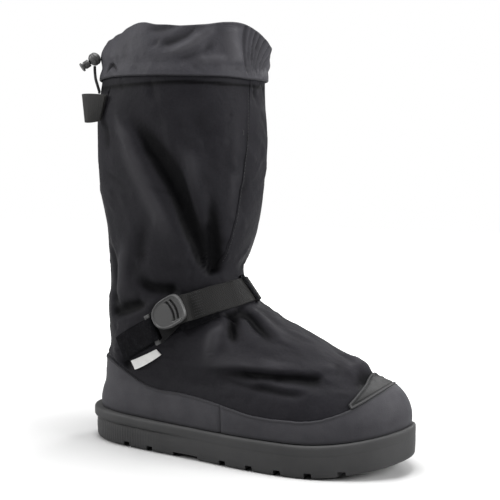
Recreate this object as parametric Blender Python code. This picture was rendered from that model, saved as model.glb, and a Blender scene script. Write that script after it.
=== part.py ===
"""Winter overshoe: a tall nylon shell on a thick lugged sole, pulled over a shoe.

Metres, +Z up, toe towards +X, the wearer's left towards +Y. The origin is on the floor, in the middle
of the second heel lug. It is a right overshoe, so -Y is its outer (lateral) side.
"""

import math

import bmesh
import bpy
import numpy as np
from mathutils import Matrix, Vector

# Sizes of the sole
SOLE_LENGTH = 0.315
BALL_WIDTH = 0.122
SOLE_HEIGHT = 0.028
TOE_SPRING = 0.013
HEEL_RISE = 0.0028
SPRING_START = 0.72
HEEL_RISE_END = 0.50
HEEL_BEAD = 0.0022
BEAD_HEIGHT = 0.009
SOLE_EDGE_ROUND = 0.0035
LUG_PITCH = 0.0268
LUG_GAP = 0.0062
LUG_DEPTH = 0.0052
CENTRE_GROOVE = 0.0045
CENTRE_LUG_WIDTH = 0.034
FIRST_HEEL_GAP = 0.0546
ARCH_START = 0.1080
ARCH_END = 0.1345
ARCH_LIFT = 0.0042
FOREFOOT_GAPS = 5
GROOVE_START = 0.020
GROOVE_END_SHARE = 0.86
GROOVE_DEPTH_SHARE = 0.6
BEAD_FADE = (0.24, 0.42)

# Sizes of the upper and its shaft
UPPER_WALL = 0.0014
THROAT_HEIGHT = 0.150
HEM_HEIGHT = 0.337
SHAFT_DEPTH = 0.164
SHAFT_WIDTH = 0.122
SHAFT_SETBACK = 0.0076
SHAFT_TUCK_ROWS = 0.70
INSOLE_THICKNESS = 0.003

# Sizes of what is sewn on
FIT_GAP = 0.0003
SEAT_GAP = 0.0007
RAND_GAP = 0.0004
RAND_THICKNESS = 0.0012
RAND_HEEL_HEIGHT = 0.052
RAND_SEAM_PLACE = 0.480
TOE_CAP_GAP = 0.0011
TOE_CAP_THICKNESS = 0.0013
TOE_CAP_COLUMNS = 5
TOE_CAP_ROWS = 1.45
TOE_CAP_TIP_ROWS = 0.30
TOE_CAP_GAP_ROWS = 0.10
ROW_SLIVER = 0.045
SEAM_GAP_DEGREES = 0.14
COLLAR_WALL = 0.0013
COLLAR_HEM_STEP = 0.0014
COLLAR_HEM_DEPTH = 0.006
COLLAR_GAP = 0.0004
FLAP_THICKNESS = 0.0011
FLAP_GAP = 0.0007
FLAP_HALF_ANGLE = 30.0
FLAP_NARROWING = 20.0
FLAP_LOW_ROW = 14.0
FLAP_COLUMNS = 9

# Sizes of the ankle strap, its buckle and its tab
STRAP_WIDTH = 0.0245
STRAP_THICKNESS = 0.0018
STRAP_GAP = 0.0006
STRAP_CLEARANCE = 0.0012
STRAP_SETTLES = (140.0, 152.0)
STRAP_HELD_SHARES = (-0.20, 0.15, 0.45)
BACKING_WIDTH = 0.0250
BACKING_THICKNESS = 0.0012
LEVER_LENGTH = 0.0315
LEVER_WIDTH = 0.0275
LEVER_THICKNESS = 0.0042
LEVER_SLOTS = (0.0062, 0.0098)
LEVER_SLOT_WIDTH = 0.0016
LEVER_SLOT_LENGTH = 0.0150
LEVER_SLOT_FLOOR = 0.55
BASE_PLATE = 0.0018
BASE_LIFT = 0.0042
BASE_WIDTH = 0.0290
BASE_NARROW = 0.0180
BASE_FRAME_LENGTH = 0.0120
BASE_TURN = 10.0
BAR_THICKNESS = 0.0030
CLAMP_SPACE = 0.0030
LABEL_THICKNESS = 0.0008

# Sizes of the pull loop, the drawcord and its lock
LOOP_WEB_WIDTH = 0.0250
LOOP_WEB_THICKNESS = 0.0015
LOOP_REACH = 0.0185
LOOP_SWELL = 0.0058
LOOP_STAND = 0.0020
LOOP_HEIGHT = 0.3105
SLIT_TOP_DEGREES = 54.0
SLIT_BOTTOM_DEGREES = 44.0
CORD_DIAMETER = 0.0022
CORD_SPREAD = 0.0036
CORD_DROP = 0.0095
CORD_SLACK = 0.0012
CORD_BIGHT = 0.55
LOCK_DEGREES = 33.0
LOCK_HEIGHT = 0.3550
LOCK_RADIUS = 0.0060
LOCK_SLANT = (0.82, -0.57)
PLUNGER_RADIUS = 0.0041
PLUNGER_LENGTH = 0.0085

AROUND = 44
HEEL_TO_ORIGIN = FIRST_HEEL_GAP + LUG_PITCH / 2

# Half width of the sole along its length, as shares of half the ball width
SOLE_OUTLINE = {
    "along": (0.00, 0.12, 0.25, 0.42, 0.55, 0.68, 0.80, 0.92, 1.00),
    "lateral": (0.66, 0.67, 0.76, 0.86, 0.96, 1.00, 0.97, 0.89, 0.83),
    "medial": (0.66, 0.66, 0.66, 0.71, 0.81, 0.94, 0.98, 0.93, 0.87),
}
HEEL_ROUND = 0.16
TOE_ROUND = 0.31
TOE_FULLNESS = 2.25

# Slanted sections of the foot, from the sole to the throat. x is a share of the sole's length from the
# heel's back, z a share of the way from the sole's top to the throat, half a share of half the ball width,
# and oval how far the section has turned from the sole's outline into an oval.
FOOT_SECTIONS = (
    {"back_x": 0.0220, "back_z": 0.000, "front_x": 0.9850, "front_z": 0.000, "half": 0.930, "oval": 0.00},
    {"back_x": 0.0225, "back_z": 0.070, "front_x": 0.9830, "front_z": 0.120, "half": 0.935, "oval": 0.00},
    {"back_x": 0.0280, "back_z": 0.140, "front_x": 0.9680, "front_z": 0.231, "half": 0.906, "oval": 0.02},
    {"back_x": 0.0345, "back_z": 0.195, "front_x": 0.9380, "front_z": 0.335, "half": 0.860, "oval": 0.10},
    {"back_x": 0.0365, "back_z": 0.242, "front_x": 0.8950, "front_z": 0.410, "half": 0.815, "oval": 0.20},
    {"back_x": 0.0370, "back_z": 0.290, "front_x": 0.8500, "front_z": 0.502, "half": 0.785, "oval": 0.32},
    {"back_x": 0.0390, "back_z": 0.328, "front_x": 0.7940, "front_z": 0.552, "half": 0.762, "oval": 0.45},
    {"back_x": 0.0410, "back_z": 0.367, "front_x": 0.7320, "front_z": 0.634, "half": 0.746, "oval": 0.58},
    {"back_x": 0.0420, "back_z": 0.406, "front_x": 0.6700, "front_z": 0.702, "half": 0.738, "oval": 0.70},
    {"back_x": 0.0470, "back_z": 0.445, "front_x": 0.6130, "front_z": 0.764, "half": 0.730, "oval": 0.80},
    {"back_x": 0.0525, "back_z": 0.484, "front_x": 0.5720, "front_z": 0.828, "half": 0.720, "oval": 0.88},
    {"back_x": 0.0550, "back_z": 0.530, "front_x": 0.5320, "front_z": 0.890, "half": 0.703, "oval": 0.94},
    {"back_x": 0.0550, "back_z": 0.586, "front_x": 0.5010, "front_z": 0.974, "half": 0.680, "oval": 1.00},
)

# Sections of the shaft and collar. x is a share of the shaft's depth from its back, z a share of the way
# from the throat to the collar's hem, and half a share of half the shaft's width.
SHAFT_SECTIONS = (
    {"back_x": 0.0570, "back_z": -0.228, "front_x": 0.8735, "front_z": 0.046, "half": 0.680},
    {"back_x": 0.0550, "back_z": -0.173, "front_x": 0.8680, "front_z": 0.112, "half": 0.720},
    {"back_x": 0.0600, "back_z": -0.107, "front_x": 0.9050, "front_z": 0.183, "half": 0.766},
    {"back_x": 0.0800, "back_z": -0.030, "front_x": 0.9340, "front_z": 0.259, "half": 0.812},
    {"back_x": 0.0840, "back_z": 0.056, "front_x": 0.9530, "front_z": 0.335, "half": 0.852},
    {"back_x": 0.0780, "back_z": 0.152, "front_x": 0.9690, "front_z": 0.416, "half": 0.883},
    {"back_x": 0.0760, "back_z": 0.249, "front_x": 0.9800, "front_z": 0.497, "half": 0.906},
    {"back_x": 0.0560, "back_z": 0.345, "front_x": 0.9900, "front_z": 0.579, "half": 0.930},
    {"back_x": 0.0310, "back_z": 0.447, "front_x": 0.9965, "front_z": 0.660, "half": 0.953},
    {"back_x": 0.0225, "back_z": 0.558, "front_x": 0.9980, "front_z": 0.736, "half": 0.969},
    {"back_x": 0.0200, "back_z": 0.685, "front_x": 0.9910, "front_z": 0.817, "half": 0.984},
    {"back_x": 0.0260, "back_z": 0.827, "front_x": 0.9810, "front_z": 0.898, "half": 1.000},
    {"back_x": 0.0550, "back_z": 0.964, "front_x": 0.9780, "front_z": 0.980, "half": 1.000},
    {"back_x": 0.0750, "back_z": 1.050, "front_x": 0.9820, "front_z": 1.050, "half": 0.995},
    {"back_x": 0.0740, "back_z": 1.115, "front_x": 0.9960, "front_z": 1.108, "half": 0.985},
    {"back_x": 0.1350, "back_z": 1.190, "front_x": 1.0200, "front_z": 1.170, "half": 0.960},
    {"back_x": 0.2000, "back_z": 1.260, "front_x": 1.0620, "front_z": 1.240, "half": 0.930},
)
OVAL_FULLNESS = 2.3
HEM_ROW = len(FOOT_SECTIONS) + 12.0
COLLAR_RIM = {
    "degrees": (0, 15, 32, 55, 90, 125, 148, 165, 180),
    "height": (0.128, 0.150, 0.190, 0.225, 0.237, 0.230, 0.205, 0.152, 0.128),
}

# Top edge of the rubber-coated rand: share of the sole's length, share of the rand's height at the heel
RAND_EDGE = {
    "along": (0.02, 0.08, 0.13, 0.18, 0.22, 0.28, 0.36, 0.48, 0.60, 0.70, 0.79, 0.86, 0.95),
    "rise": (1.00, 0.97, 0.87, 0.74, 0.64, 0.57, 0.56, 0.49, 0.38, 0.37, 0.40, 0.52, 0.82),
}

# Routes over the upper, each as angles round the ankle from the heel and rows of its sections
STRAP_ROUTE = {
    "degrees": (119.0, 135.0, 158.0, 180.0, 202.0, 225.0, 250.0, 275.0, 292.0),
    "row": (11.95, 11.95, 11.96, 12.00, 12.00, 11.95, 11.55, 10.60, 9.60),
}
BACKING_ROUTE = {
    "degrees": (49.0, 54.5, 70.0, 85.5, 100.0, 115.0, 138.0),
    "row": (9.00, 9.43, 10.31, 10.88, 11.30, 11.46, 11.62),
}
LABEL_EDGES = {
    "degrees": (54.0, 77.5),
    "top": (7.10, 8.42),
    "bottom": (5.72, 7.66),
}
LEVER_PLACE = {"degrees": 104.5, "row": 11.93}
BAR_PLACE = {"degrees": 85.5, "row": 10.88}
# Side view of the folded loop: share of its reach, and how far it stands off the shaft as a share
# of its swell
LOOP_SHAPE = (
    (0.000, 0.00),
    (0.300, 0.00),
    (0.650, 0.02),
    (0.900, 0.10),
    (0.985, 0.28),
    (1.000, 0.50),
    (0.985, 0.75),
    (0.900, 0.95),
    (0.650, 1.00),
    (0.300, 0.72),
    (0.000, 0.36),
)
STRAP_STATIONS = 26
BACKING_STATIONS = 16
SPRING_FADE_ROWS = 6.0


def clear_scene():
    for thing in list(bpy.data.objects):
        bpy.data.objects.remove(thing)


def hermite(stations, values, at):
    """Smooth curve through the values, with each slope taken from the neighbours on both sides."""
    stations = np.asarray(stations, float)
    values = np.asarray(values, float)
    at = np.clip(np.asarray(at, float), stations[0], stations[-1])
    slopes = np.gradient(values, stations)
    span = np.clip(np.searchsorted(stations, at, side="right") - 1, 0, len(stations) - 2)
    width = stations[span + 1] - stations[span]
    t = (at - stations[span]) / width
    start = (1 + 2 * t) * (1 - t) ** 2 * values[span] + t * (1 - t) ** 2 * width * slopes[span]
    end = t**2 * (3 - 2 * t) * values[span + 1] + t**2 * (t - 1) * width * slopes[span + 1]
    return start + end


def smooth_step(low, high, at):
    t = np.clip((np.asarray(at, float) - low) / (high - low), 0.0, 1.0)
    return t * t * (3 - 2 * t)


def sole_share(along, lateral):
    """Half width of the sole's outline at a share of its length, as a share of half the ball width."""
    side = "lateral" if lateral else "medial"
    width = hermite(SOLE_OUTLINE["along"], SOLE_OUTLINE[side], along)
    heel = np.clip(1 - along / HEEL_ROUND, 0.0, 1.0)
    toe = np.clip((along - (1 - TOE_ROUND)) / TOE_ROUND, 0.0, 1.0)
    return width * np.sqrt(1 - heel**2) * np.sqrt(np.clip(1 - toe**TOE_FULLNESS, 0.0, 1.0))


def spring(x):
    """How far the sole has curved up at x, measured from the heel's back."""
    share = np.clip((x / SOLE_LENGTH - SPRING_START) / (1 - SPRING_START), 0.0, 1.0)
    return TOE_SPRING * share**2


def seat_rise(x):
    """How far the sole's top lies above its height at the waist, at x from the heel's back."""
    return spring(x) + HEEL_RISE * (1 - smooth_step(0.0, HEEL_RISE_END, np.asarray(x, float) / SOLE_LENGTH))


def section_sizes():
    """Every slanted section in metres, one array for each column, from the sole up to above the collar."""
    foot_rise = THROAT_HEIGHT - SOLE_HEIGHT - SEAT_GAP
    shaft_rise = HEM_HEIGHT - THROAT_HEIGHT
    sizes = {"back_x": [], "back_z": [], "front_x": [], "front_z": [], "half": [], "oval": []}
    for row in FOOT_SECTIONS:
        for end in ("back", "front"):
            sizes[end + "_x"].append(row[end + "_x"] * SOLE_LENGTH)
            sizes[end + "_z"].append(SOLE_HEIGHT + SEAT_GAP + row[end + "_z"] * foot_rise)
        sizes["half"].append(row["half"] * BALL_WIDTH / 2)
        sizes["oval"].append(row["oval"])
    for row in SHAFT_SECTIONS:
        for end in ("back", "front"):
            sizes[end + "_x"].append(SHAFT_SETBACK + row[end + "_x"] * SHAFT_DEPTH)
            sizes[end + "_z"].append(THROAT_HEIGHT + row[end + "_z"] * shaft_rise)
        sizes["half"].append(row["half"] * SHAFT_WIDTH / 2)
        sizes["oval"].append(1.0)
    return {name: np.array(column) for name, column in sizes.items()}


SECTIONS = section_sizes()
SECTION_ROWS = np.arange(len(SECTIONS["half"]))


def form(rows, angles):
    """Points of the overshoe's outer form. Row 0 is at the sole, angle 0 at the heel and 180 at the toe."""
    rows, angles = np.broadcast_arrays(np.asarray(rows, float), np.asarray(angles, float))
    size = {name: hermite(SECTION_ROWS, column, rows) for name, column in SECTIONS.items()}
    along = (1 - np.cos(np.radians(angles))) / 2
    lateral = np.sin(np.radians(angles)) >= 0
    outline = np.where(lateral, sole_share(along, True), sole_share(along, False))
    oval = (1 - np.abs(2 * along - 1) ** OVAL_FULLNESS) ** (1 / OVAL_FULLNESS)
    half = size["half"] * ((1 - size["oval"]) * outline + size["oval"] * oval)
    x = size["back_x"] + along * (size["front_x"] - size["back_x"])
    z = size["back_z"] + along * (size["front_z"] - size["back_z"])
    z = z + seat_rise(x) * np.clip(1 - rows / SPRING_FADE_ROWS, 0.0, 1.0)
    return np.stack([x - HEEL_TO_ORIGIN, np.where(lateral, -half, half), z], axis=-1)


def form_normals(rows, angles):
    """Outward directions of the form, from its slopes along and across the rows."""
    step_row, step_angle = 0.05, 0.5
    up = form(rows + step_row, angles) - form(rows - step_row, angles)
    round_way = form(rows, angles + step_angle) - form(rows, angles - step_angle)
    normal = np.cross(round_way, up)
    return normal / np.linalg.norm(normal, axis=-1, keepdims=True)


def make_object(name, points, faces, material):
    mesh = bpy.data.meshes.new(name)
    mesh.from_pydata([tuple(p) for p in np.asarray(points, float)], [], faces)
    mesh.validate()
    mesh.update()
    mesh.shade_smooth()
    mesh.set_sharp_from_angle(angle=math.radians(38))
    mesh.materials.append(material)
    made = bpy.data.objects.new(name, mesh)
    bpy.context.scene.collection.objects.link(made)
    return made


def face_outwards(made):
    mesh = made.data
    work = bmesh.new()
    work.from_mesh(mesh)
    bmesh.ops.recalc_face_normals(work, faces=work.faces)
    work.to_mesh(mesh)
    work.free()
    return made


def shell(name, outer, inner, material, closed_round=True):
    """A wall between two grids of points, rows by columns, closed at its free edges."""
    rows, columns = outer.shape[:2]
    points = np.concatenate([outer.reshape(-1, 3), inner.reshape(-1, 3)])
    half = rows * columns
    last = columns if closed_round else columns - 1
    faces = []
    for r in range(rows - 1):
        for c in range(last):
            a, b = r * columns + c, r * columns + (c + 1) % columns
            d, e = a + columns, b + columns
            faces.append((a, b, e, d))
            faces.append((half + a, half + d, half + e, half + b))
    for c in range(last):
        n = (c + 1) % columns
        top = (rows - 1) * columns
        faces.append((c, half + c, half + n, n))
        faces.append((top + c, top + n, half + top + n, half + top + c))
    if not closed_round:
        for r in range(rows - 1):
            a, b = r * columns, (r + 1) * columns
            faces.append((a, b, half + b, half + a))
            a, b = a + columns - 1, b + columns - 1
            faces.append((a, half + a, half + b, b))
    return face_outwards(make_object(name, points, faces, material))


def loft(name, rings, material, strips=False):
    """A closed solid through rings of as many points each, capped by one face or by strips across."""
    rings = np.asarray(rings, float)
    count, columns = rings.shape[:2]
    faces = []
    for r in range(count - 1):
        for c in range(columns):
            a, b = r * columns + c, r * columns + (c + 1) % columns
            faces.append((a, b, b + columns, a + columns))
    for first in (0, (count - 1) * columns):
        cap = [tuple(range(columns))]
        if strips:
            cap = [(c, c + 1, columns - c - 1, (columns - c) % columns) for c in range(columns // 2)]
        for face in cap:
            faces.append(tuple(first + c for c in dict.fromkeys(face)))
    return face_outwards(make_object(name, rings.reshape(-1, 3), faces, material))


def make_material(name, colour, roughness, metallic=0.0):
    made = bpy.data.materials.new(name)
    made.use_nodes = True
    finish = made.node_tree.nodes["Principled BSDF"]
    finish.inputs["Base Color"].default_value = (*colour, 1.0)
    finish.inputs["Roughness"].default_value = roughness
    finish.inputs["Metallic"].default_value = metallic
    return made


def box(name, low, high):
    """A plain box that only cuts, so it is left out of the overshoe."""
    corners = [(x, y, z) for x in (low[0], high[0]) for y in (low[1], high[1]) for z in (low[2], high[2])]
    faces = [(0, 1, 3, 2), (4, 6, 7, 5), (0, 4, 5, 1), (2, 3, 7, 6), (0, 2, 6, 4), (1, 5, 7, 3)]
    mesh = bpy.data.meshes.new(name)
    mesh.from_pydata(corners, [], faces)
    made = bpy.data.objects.new(name, mesh)
    bpy.context.scene.collection.objects.link(made)
    made.hide_render = True
    made.display_type = "WIRE"
    return face_outwards(made)


def cut(made, cutter):
    bite = made.modifiers.new(cutter.name, "BOOLEAN")
    bite.operation = "DIFFERENCE"
    bite.object = cutter


ROWS = np.append(np.arange(0.0, HEM_ROW + 0.5), HEM_ROW + SHAFT_TUCK_ROWS)
ANGLES = np.arange(AROUND) * 360.0 / AROUND
GRID_ROWS, GRID_ANGLES = np.meshgrid(ROWS, ANGLES, indexing="ij")
GRID = form(GRID_ROWS, GRID_ANGLES)
GRID_NORMALS = form_normals(GRID_ROWS, GRID_ANGLES)


def grid_at(rows, angles, offset):
    """Points on the upper's own facets at any row and angle, moved outwards by the offset."""
    rows, angles, offset = np.broadcast_arrays(
        np.asarray(rows, float), np.asarray(angles, float), np.asarray(offset, float)
    )
    lower = np.clip(np.searchsorted(ROWS, rows, side="right") - 1, 0, len(ROWS) - 2)
    t = ((rows - ROWS[lower]) / (ROWS[lower + 1] - ROWS[lower]))[..., None]
    turn = (angles % 360.0) * AROUND / 360.0
    left = np.floor(turn + 1e-9).astype(int)
    s = (turn - left)[..., None]
    left, right = left % AROUND, (left + 1) % AROUND
    made = 0.0
    for grid, weight in ((GRID, 1.0), (GRID_NORMALS, offset[..., None])):
        low = grid[lower, left] * (1 - s) + grid[lower, right] * s
        high = grid[lower + 1, left] * (1 - s) + grid[lower + 1, right] * s
        made = made + weight * (low * (1 - t) + high * t)
    return made


def collar_row_at(height, angle):
    """Row at which the form reaches a height, at one angle."""
    rows = np.linspace(HEM_ROW - 2.0, SECTION_ROWS[-1], 200)
    heights = form(rows, np.full_like(rows, angle))[:, 2]
    return float(np.interp(height, heights, rows))


def rand_row_at(angle):
    """Row of the rand's top edge at one angle, where its height over the sole fits the edge's table."""
    rows = np.linspace(0.0, 11.0, 400)
    points = form(rows, np.full_like(rows, angle))
    x = points[:, 0] + HEEL_TO_ORIGIN
    edge = SOLE_HEIGHT + spring(x)
    edge = edge + RAND_HEEL_HEIGHT * hermite(RAND_EDGE["along"], RAND_EDGE["rise"], x / SOLE_LENGTH)
    above = np.nonzero(points[:, 2] >= edge)[0]
    return float(rows[above[0]]) if len(above) else 11.0


def make_upper(material):
    inner = GRID - GRID_NORMALS * UPPER_WALL
    inner[0, :, 2] = GRID[0, :, 2]
    return shell("upper", GRID, inner, material)


def make_insole(material):
    inset = UPPER_WALL + 2 * FIT_GAP
    ring = GRID[0] - GRID_NORMALS[0] * np.array([inset, inset, 0.0])
    low, high = ring.copy(), ring.copy()
    high[:, 2] += INSOLE_THICKNESS
    return loft("insole", [low, high], material, strips=True)


def sole_ring(height, inset, bead):
    """The sole's outline at a share of its height, drawn in by the inset and out by the heel's bead."""
    angles = np.radians(ANGLES)
    along = (1 - np.cos(angles)) / 2
    lateral = np.sin(angles) >= 0
    half = BALL_WIDTH / 2 * np.where(lateral, sole_share(along, True), sole_share(along, False))
    x = along * SOLE_LENGTH
    ring = np.stack([x, np.where(lateral, -half, half)], axis=-1)
    ahead, behind = np.roll(ring, -1, axis=0), np.roll(ring, 1, axis=0)
    way = ahead - behind
    outward = np.stack([way[:, 1], -way[:, 0]], axis=-1)
    outward /= np.linalg.norm(outward, axis=1, keepdims=True)
    outward *= -1 if np.dot(outward[0], (-1.0, 0.0)) < 0 else 1
    heel = 1 - smooth_step(*BEAD_FADE, along)
    ring = ring + outward * (bead * heel - inset)[:, None]
    z = height * (SOLE_HEIGHT + seat_rise(x) - spring(x)) + spring(x)
    return np.stack([ring[:, 0] - HEEL_TO_ORIGIN, ring[:, 1], z], axis=-1)


def make_outsole(material):
    bead_low = 1 - BEAD_HEIGHT / SOLE_HEIGHT
    # share of the sole's height, how far the wall is drawn in, and share of the heel's bead
    levels = (
        (0.0, SOLE_EDGE_ROUND, 0.0),
        (0.045, SOLE_EDGE_ROUND * 0.45, 0.0),
        (0.14, SOLE_EDGE_ROUND * 0.12, 0.0),
        (bead_low - 0.03, 0.0003, -0.5),
        (bead_low, 0.0, -0.5),
        (bead_low + 0.06, 0.0, 1.0),
        (0.95, 0.0, 1.0),
        (1.0, 0.0011, 0.7),
    )
    rings = [sole_ring(z, inset, HEEL_BEAD * bead) for z, inset, bead in levels]
    sole = loft("outsole", rings, material, strips=True)
    wide = BALL_WIDTH
    under = -0.01
    heel_gaps = [FIRST_HEEL_GAP + n * LUG_PITCH for n in range(2)]
    fore_gaps = [ARCH_END + (n + 1) * LUG_PITCH for n in range(FOREFOOT_GAPS)]
    for n, centre in enumerate(heel_gaps + fore_gaps):
        x = centre - HEEL_TO_ORIGIN
        top = LUG_DEPTH + float(spring(np.array(centre)))
        cut(sole, box(f"gap_{n}", (x - LUG_GAP / 2, -wide, under), (x + LUG_GAP / 2, wide, top)))
    low = (ARCH_START - HEEL_TO_ORIGIN, -wide, under)
    cut(sole, box("arch", low, (ARCH_END - HEEL_TO_ORIGIN, wide, ARCH_LIFT)))
    for n, side in enumerate((-1, 1)):
        y = side * (CENTRE_LUG_WIDTH + CENTRE_GROOVE) / 2
        low = (GROOVE_START - HEEL_TO_ORIGIN, y - CENTRE_GROOVE / 2, under)
        far = SOLE_LENGTH * GROOVE_END_SHARE - HEEL_TO_ORIGIN
        high = (far, y + CENTRE_GROOVE / 2, LUG_DEPTH * GROOVE_DEPTH_SHARE)
        cut(sole, box(f"groove_{n}", low, high))
    return sole


def overlay(name, low, high, columns, gap, thickness, material):
    """A patch sewn over the upper, a gap off its facets, from a low to a high row at each column.

    Its rows are the upper's own rows between the two edges, so its facets run along the upper's.
    """
    inner_rows = ROWS[(ROWS > low.min()) & (ROWS < high.max())]
    rows = np.concatenate([low[None], np.repeat(inner_rows[:, None], len(low), axis=1), high[None]])
    order = np.arange(len(rows))[:, None]
    rows = np.maximum(rows, low + ROW_SLIVER * order)
    rows = np.minimum(rows, high - ROW_SLIVER * (len(rows) - 1 - order))
    outer, inner = (grid_at(rows, columns[None, :], gap + wall) for wall in (thickness, 0.0))
    for grid in (outer, inner):
        x = grid[..., 0] + HEEL_TO_ORIGIN
        grid[..., 2] = np.maximum(grid[..., 2], SOLE_HEIGHT + SEAT_GAP + seat_rise(x))
    return shell(name, outer, inner, material, closed_round=False)


def make_rand(material):
    """The coated band round the foot, in a heel piece and a toe piece that meet at a seam on each side."""
    step = 360.0 / AROUND
    seam = math.degrees(math.acos(1 - 2 * RAND_SEAM_PLACE))
    seam = round(seam / step) * step
    for name, first, last in (("rand_heel", -seam, seam), ("rand_toe", seam, 360.0 - seam)):
        columns = np.arange(first, last + step / 2, step)
        columns[-1] -= SEAM_GAP_DEGREES
        top = np.array([rand_row_at(angle % 360.0) for angle in columns])
        overlay(name, np.zeros_like(top), top, columns, RAND_GAP, RAND_THICKNESS, material)


def make_toe_cap(material):
    """A leaf-shaped patch across the toe, narrow at its two sides, just above the rand."""
    share = np.arange(-TOE_CAP_COLUMNS, TOE_CAP_COLUMNS + 1) / TOE_CAP_COLUMNS
    columns = 180.0 + share * TOE_CAP_COLUMNS * 360.0 / AROUND
    low = np.array([rand_row_at(angle) for angle in columns]) + TOE_CAP_GAP_ROWS
    high = low + TOE_CAP_TIP_ROWS + (TOE_CAP_ROWS - TOE_CAP_TIP_ROWS) * (1 - np.abs(share) ** 1.7)
    return overlay("toe_cap", low, high, columns, TOE_CAP_GAP, TOE_CAP_THICKNESS, material)


def make_front_flap(material):
    """The storm flap down the front of the shaft, which folds over towards the outer side."""
    rows = np.append(np.arange(FLAP_LOW_ROW, HEM_ROW - 0.5), HEM_ROW - 0.6)[:, None]
    share = (rows - rows[0]) / (rows[-1] - rows[0])
    reach = FLAP_HALF_ANGLE - FLAP_NARROWING * share
    columns = 180.0 + reach * np.linspace(-1.0, 1.0, FLAP_COLUMNS)[None, :]
    outer, inner = (grid_at(rows, columns, FLAP_GAP + wall) for wall in (FLAP_THICKNESS, 0.0))
    return shell("front_flap", outer, inner, material, closed_round=False)


def make_collar(material):
    """The snow collar: a soft sleeve sewn over the top of the shaft, with a hem that stands proud of it."""
    hem = np.array([collar_row_at(HEM_HEIGHT - COLLAR_HEM_DEPTH / 2, angle) for angle in ANGLES])
    rim_height = hermite(COLLAR_RIM["degrees"], COLLAR_RIM["height"], np.minimum(ANGLES, 360.0 - ANGLES))
    rim_height = HEM_HEIGHT + rim_height * (HEM_HEIGHT - THROAT_HEIGHT)
    rim = np.array([collar_row_at(h, angle) for h, angle in zip(rim_height, ANGLES)])
    sewn = np.broadcast_to(ROWS[-1], rim.shape)
    low = [hem * (1 - share) + sewn * share for share in (0.0, 0.35, 0.65, 1.0)]
    high = [sewn * (1 - share) + rim * share for share in (0.30, 0.65, 1.0)]
    rows = np.array(low + high)
    angles = np.broadcast_to(ANGLES[None, :], rows.shape)
    step = COLLAR_GAP + COLLAR_HEM_STEP * np.array([1.0, 0.8, 0.0, 0.0, 0.3, 0.3, 0.3])[:, None]
    out = form_normals(rows, angles)
    centre = form(rows, angles)
    centre[: len(low)] = grid_at(rows[: len(low)], angles[: len(low)], 0.0)
    inner = centre + out * step[..., None]
    outer = centre + out * (step + COLLAR_WALL)[..., None]
    return shell("collar", outer, inner, material)


def band(route, stations, width, thickness, lift):
    """Rings of a flat webbing band that lies over the upper along a route of angles and rows.

    At each station the band spans straight from edge to edge, over the fabric that bulges between them.
    """
    degrees = np.array(route["degrees"], float)
    path_angles = np.linspace(degrees[0], degrees[-1], stations)
    path_rows = hermite(degrees, route["row"], path_angles)
    centre = grid_at(path_rows, path_angles, 0.0)
    ahead = np.gradient(centre, axis=0)
    speed = np.linalg.norm(ahead, axis=1) / (path_angles[1] - path_angles[0])
    ahead /= np.linalg.norm(ahead, axis=1, keepdims=True)
    lifts = np.broadcast_to(np.asarray(lift, float), path_angles.shape)
    rings = []
    for n in range(stations):
        reach = np.linspace(-3.0, 3.0, 61)
        strip = grid_at(np.clip(path_rows[n] + reach, 0, ROWS[-1]), path_angles[n], 0.0)
        # The strip runs up the surface, so slide it along the route to make it square to the band.
        along = (strip - centre[n]) @ ahead[n]
        turn = path_angles[n] - along / speed[n]
        strip = grid_at(np.clip(path_rows[n] + reach, 0, ROWS[-1]), turn, 0.0)
        run = np.linalg.norm(np.diff(strip, axis=0), axis=1)
        length = np.concatenate([[0.0], np.cumsum(run)])
        length -= np.interp(0.0, reach, length)
        inside = np.abs(length) <= width / 2
        ends = [
            np.array([np.interp(edge, length, strip[:, k]) for k in range(3)])
            for edge in (-width / 2, width / 2)
        ]
        across = ends[1] - ends[0]
        across /= np.linalg.norm(across)
        out = np.cross(ahead[n], across)
        out /= np.linalg.norm(out)
        middle = (ends[0] + ends[1]) / 2
        if np.dot(out, centre[n] - grid_at(path_rows[n], path_angles[n], -0.01)) < 0:
            out = -out
        proud = max(0.0, float(((strip[inside] - middle) @ out).max()))
        base = middle + out * (proud + STRAP_GAP + lifts[n])
        low, high = base - across * width / 2, base + across * width / 2
        rings.append([low, high, high + out * thickness, low + out * thickness])
    return np.array(rings)


def buckle_frame():
    """Matrix of the buckle, X along the strap to the front and Z outwards, and where its rear bar lies."""
    lever_at, bar_at = (
        Vector(grid_at(place["row"], place["degrees"], 0.0)) for place in (LEVER_PLACE, BAR_PLACE)
    )
    chord = (lever_at - bar_at).normalized()
    out = Vector((0.0, 0.0, 0.0))
    for place in (LEVER_PLACE, BAR_PLACE):
        out += Vector(form_normals(np.array([place["row"]]), np.array([place["degrees"]]))[0])
    out = (out - chord * out.dot(chord)).normalized()
    ahead = Vector(grid_at(STRAP_ROUTE["row"][0], STRAP_ROUTE["degrees"][0], 0.0)) - lever_at
    along = (ahead - out * ahead.dot(out)).normalized()
    across = out.cross(along)
    turned = Matrix((along, across, out)).transposed().to_4x4()
    place = Matrix.Translation(lever_at + out * BASE_LIFT) @ turned
    return place, ((bar_at - lever_at).dot(along), (bar_at - lever_at).dot(across))


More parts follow.
